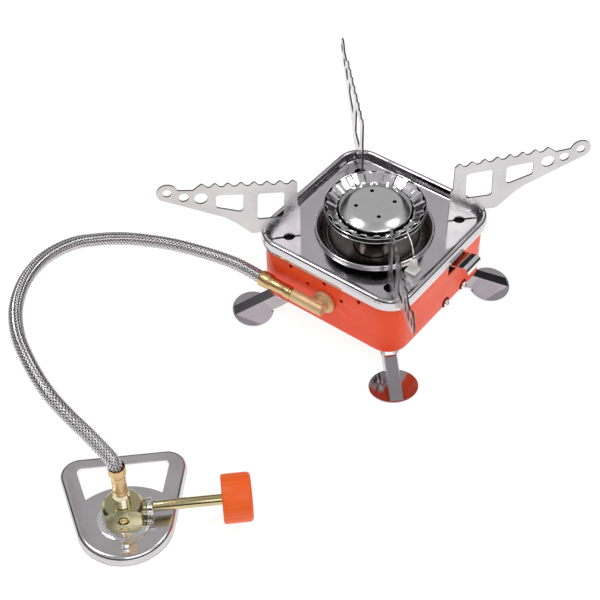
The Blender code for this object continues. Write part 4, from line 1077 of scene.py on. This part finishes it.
def valve():
    """Round block with a milled flat and a groove, union, nut, spindle and ribbed knob."""
    base = PLATE_TOP + 0.3
    top = corners("valve_body")[1].z
    low, high = corners("metering_screw")
    screw_at = VALVE_FRAME.inverted() @ ((low + high) / 2)
    x, z = screw_at.x, screw_at.z

    def block_loop(radius, height):
        start = asin(FRONT_FLAT / radius)
        sweep = pi - 2 * start
        return [(radius * cos(a), radius * sin(a), height)
                for a in (start + sweep * i / 64 for i in range(65))]

    bm = bmesh.new()
    loft(bm, [block_loop(radius, height) for radius, height in
              ((BLOCK_RADIUS - 0.5, base), (BLOCK_RADIUS, base + 0.5), (BLOCK_RADIUS, top - 1.4),
               (BLOCK_RADIUS - 1.4, top))])
    made = piece("valve_block", bm, "zinc", "valve_body", VALVE_FRAME)
    for shape in ("boss", "nozzle"):
        tool = bmesh.new()
        if shape == "boss":
            rod(tool, (8.0, 0, SPINDLE_Z), (11.0, 0, SPINDLE_Z), 3.9, 48)
        else:
            loft(tool, [circle(radius, height, 32) for radius, height in
                        ((2.0, 1.2), (4.4, 2.2), (4.4, base + 1.0))])
        cut(made, tool, "UNION", place=VALVE_FRAME)
    groove = [(x - 2.9, top + 1)] + [(x + px, z + pz) for px, pz in arc((0, 0), 2.9, 180, 360, 20)]
    groove += [(x + 2.9, top + 1)]
    tool = bmesh.new()
    loft(tool, [[(px, y, pz) for px, pz in groove] for y in (-9.0, -4.8)])
    rod(tool, (11.5, 0, SPINDLE_Z), (10.4, 0, SPINDLE_Z), 2.2, 24)
    cut(made, tool, place=VALVE_FRAME)
    tool = bmesh.new()
    rod(tool, (x, -6.0, z), (x, -3.5, z), 2.2, 32)
    cut(made, tool, place=VALVE_FRAME)
    soften(made, 0.25, 25.0)

    screw = bmesh.new()
    rod(screw, (x, -5.2, z), (x, -3.8, z), 1.9, 32)
    made = piece("valve_screw", screw, "brass", "metering_screw", VALVE_FRAME)
    tool = bmesh.new()
    box(tool, (x - 2.4, -5.8, z - 0.3), (x + 2.4, -4.7, z + 0.3))
    cut(made, tool, place=VALVE_FRAME)
    soften(made, 0.1, 40.0)

    low, high = corners("hose_union")
    thread = [(3.5, low.z), (3.95, low.z + 0.05), (4.1, low.z + 0.3)]
    for k in range(4):
        ridge = low.z + 1.0 + k * 1.5
        thread += [(4.1, ridge), (3.65, ridge + 0.45), (3.65, ridge + 0.7), (4.1, ridge + 1.1)]
    thread += [(3.5, high.z - 0.6), (3.3, high.z)]
    piece("union", turned(thread, 64), "thread", "hose_union", VALVE_FRAME, angle=25.0)

    nut_profile = [(1.9, 11.3), (4.3, 11.3), (4.5, 11.5), (4.5, 12.0), (4.0, 12.15), (4.0, 12.5),
                   (4.5, 12.65),
                   (4.5, 13.7), (4.3, 13.9), (1.9, 13.9)]
    along = VALVE_FRAME @ Matrix.Translation((0, 0, SPINDLE_Z)) @ TURN_Y
    piece("gland_nut", turned(nut_profile, 64, closed=True), "nut", "packing_nut", along, angle=25.0)

    stem = [(1.1, 4.6), (1.5, 5.6), (1.5, 14.2), (2.6, 14.5), (2.7, 14.8), (2.7, 50.0), (2.7, 55.0),
            (2.2, 55.6)]
    piece("rod", turned(stem, 48), "rod", "valve_spindle", along, angle=30.0)
    knob(along)


def knob(along):
    """Moulded knob: shallow flutes, rounded rims, a dished face and a bored back."""
    ribs, fine = 12, 10
    start, end, radius = 47.3, 61.8, 12.1

    def fluted(reach, x, depth):
        loop = []
        for i in range(ribs * fine):
            angle = tau * (i + fine / 2) / (ribs * fine)
            dip = 0.6 * depth * max(0.0, cos(ribs * angle)) ** 6
            loop.append(((reach - dip) * cos(angle), (reach - dip) * sin(angle), x))
        return loop

    rows = [(3.0, 56.2, 0.0), (3.0, start, 0.0), (radius - 1.0, start, 0.35),
            (radius - 0.3, start + 0.3, 0.5),
            (radius, start + 1.0, 0.6), (radius, end - 1.8, 0.6), (radius - 0.35, end - 0.8, 0.5),
            (radius - 1.2, end - 0.15, 0.3), (radius - 2.0, end, 0.1), (radius - 3.0, end - 0.25, 0.0),
            (4.0, end - 0.35, 0.0)]
    bm = bmesh.new()
    loft(bm, [fluted(reach, x, depth) for reach, x, depth in rows])
    piece("knob", bm, "knob", "control_knob", along, angle=45.0)


# ---- CAD nodes that stay
def kept_nodes():
    """Hidden pieces keep their CAD shape and get worked materials and softened edges."""
    looks = {
        "base_plate": "plate", "piezo_bracket": "plate", "canister_collar": "plate", "lever_pin": "plate",
        "inlet_nut": "brass", "inlet_pipe": "brass", "jet_block": "brass", "jet_nozzle": "brass",
        "piezo_housing": "plastic", "piezo_plunger": "plastic", "igniter_lead": "rubber",
        "canister_seal": "rubber",
    }
    for side in SIDES:
        looks[f"pivot_cup_{side}"] = "plate"
        looks[f"leg_bracket_{side}"] = "plate"
        looks[f"leg_pin_{side}"] = "plate"
    for node, look in looks.items():
        item = frame["nodes"][node]
        for holder in item.material_slots:
            holder.material = LOOKS[look]
        if node not in ("igniter_lead",):
            soften(item, 0.12, 40.0)


# ---- the scene
camera()
hose_piece, hose_points, hose_length = hose()
studio()
body()
deck()
burner()
electrode()
supports()
legs()
gas_line()
lever()
valve_plate()
valve()
kept_nodes()
